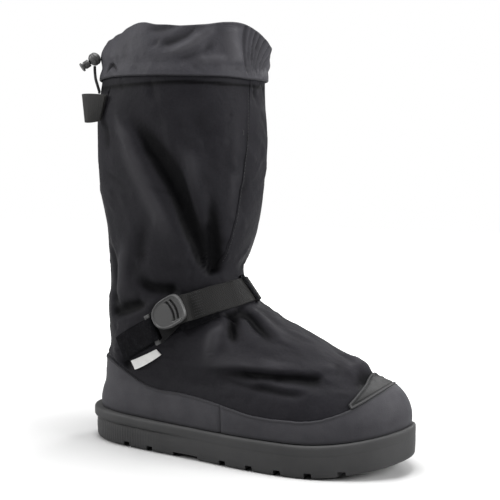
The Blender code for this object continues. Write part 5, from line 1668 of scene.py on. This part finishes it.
def makeOutsole():
    rings = soleRings(soleProfile["height"], soleProfile["inset"], soleProfile["bead"])
    centre = rings[[0, -1]] * (1, 1e-3, 1)
    rings = np.concatenate([centre[:1] * 0.5 + rings[:1] * 0.5, rings, centre[1:] * 0.5 + rings[-1:] * 0.5])
    made = turnedSurface("mouldedSole", rings, finishes["rubber"], "outsole")
    height = np.concatenate([[0.0], soleProfile["height"], [1.0]])
    x = rings[..., 0] + shoe["heelToOrigin"]
    edge = sum(much * np.exp(-(((height - at) / wide) ** 2)) for at, wide, much in outsole["paleEdges"])
    floatAttribute(made, "edge", np.repeat(edge[:, None], rings.shape[1], axis=1).T)
    low, high = outsole["ribbedUp"]
    ribbed = ((height > low) & (height < high))[:, None] * (1 - smoothStep(*outsole["ribbedAlong"], x))
    floatAttribute(made, "ribbed", ribbed.T)
    wide, under = shoe["ballWidth"], -0.01
    centres = [outsole["firstHeelGap"] + n * outsole["lugPitch"] for n in range(2)]
    centres += [outsole["archEnd"] + (n + 1) * outsole["lugPitch"] for n in range(5)]
    back, half = shoe["heelToOrigin"], outsole["lugGap"] / 2
    cuts = []
    for x in centres:
        top = outsole["lugDepth"] + float(soleSpring(np.array(x)))
        cuts.append(((x - back - half, -wide, under), (x - back + half, wide, top), outsole["gapFlare"]))
    near, far = outsole["archStart"] - back, outsole["archEnd"] - back
    cuts.append(((near, -wide, under), (far, wide, outsole["archLift"]), outsole["gapFlare"]))
    groove = outsole["centreGroove"]
    for side in (-1, 1):
        y = side * (outsole["centreLug"] + groove) / 2
        end = shoe["soleLength"] * outsole["grooveTo"] - back
        top = (end, y + groove / 2, outsole["lugDepth"] * outsole["grooveDepth"])
        cuts.append(((outsole["grooveFrom"] - back, y - groove / 2, under), top, 0.0))
    biteOut(made, wedgeCutter("treadCutter", cuts))


insole = {
    "thickness": 0.003, "inset": 0.0020, "columns": 160,
    "out": (0.02, 0.5, 0.93, 0.985, 1.0, 1.0, 0.985, 0.93, 0.5, 0.02),
    "up": (0, 0, 0, 0.1, 0.3, 0.7, 0.9, 1.0, 1.0, 1.0),
}


def makeInsole():
    # a foam sheet with rounded edges, a little dished at the heel, in rings out from under its middle
    angles = np.arange(insole["columns"]) * 360.0 / insole["columns"]
    edge = form(0.0, angles) - formNormals(0.0, angles) * (insole["inset"], insole["inset"], 0.0)
    middle = edge * (1, 0, 1)
    rings = middle[None] + (edge - middle)[None] * np.array(insole["out"])[:, None, None]
    rings[..., 2] += np.array(insole["up"])[:, None] * insole["thickness"]
    turnedSurface("footbed", rings, finishes["foam"], "insole")


makeOutsole()
makeInsole()
print("overshoe: outsole and insole")


# Seams

# on the shell: rows, angles, height over the cloth, and a tack's own sizes; then the strap's end
seams = {
    "shell": (
        ((24.3, 19.0, 14.3), (167.4, 160.2, 153.0), 0.0018, {}),
        ((22.25, 21.9), (159.6, 161.4), 0.0002, {"pitch": 0.0016, "length": 0.0017}),
        ((21.9, 22.25), (159.6, 161.4), 0.0002, {"pitch": 0.0016, "length": 0.0017}),
    ),
    "tackSpan": (0.118, 0.165), "tackRows": 9, "tackReach": 0.82,
    "tack": {"pitch": 0.0020, "length": 0.0015},
}


def bandSeam(path, shareAcross):
    # a row of stitches along the strap, over the span of its length where its end is tacked down
    marks, at = np.arange(len(path[0])), np.linspace(*seams["tackSpan"], 60) * (len(path[0]) - 1)
    base, across, out = (sampled(line, marks, at) for line in path)
    line = base + unit(across) * (shareAcross * strap["width"] / 2) + unit(out) * strap["thickness"]
    return seamStitches(line, out, **seams["tack"])


def makeSeams():
    rows = [seamOnSkin(*places, **sizes) for *places, sizes in seams["shell"]]
    stitchMesh("shellSeams", rows, finishes["thread"])
    reach = seams["tackReach"]
    tacks = [bandSeam(strapPath, side) for side in np.linspace(-reach, reach, seams["tackRows"])]
    stitchMesh("strapTack", tacks, finishes["thread"])


makeSeams()
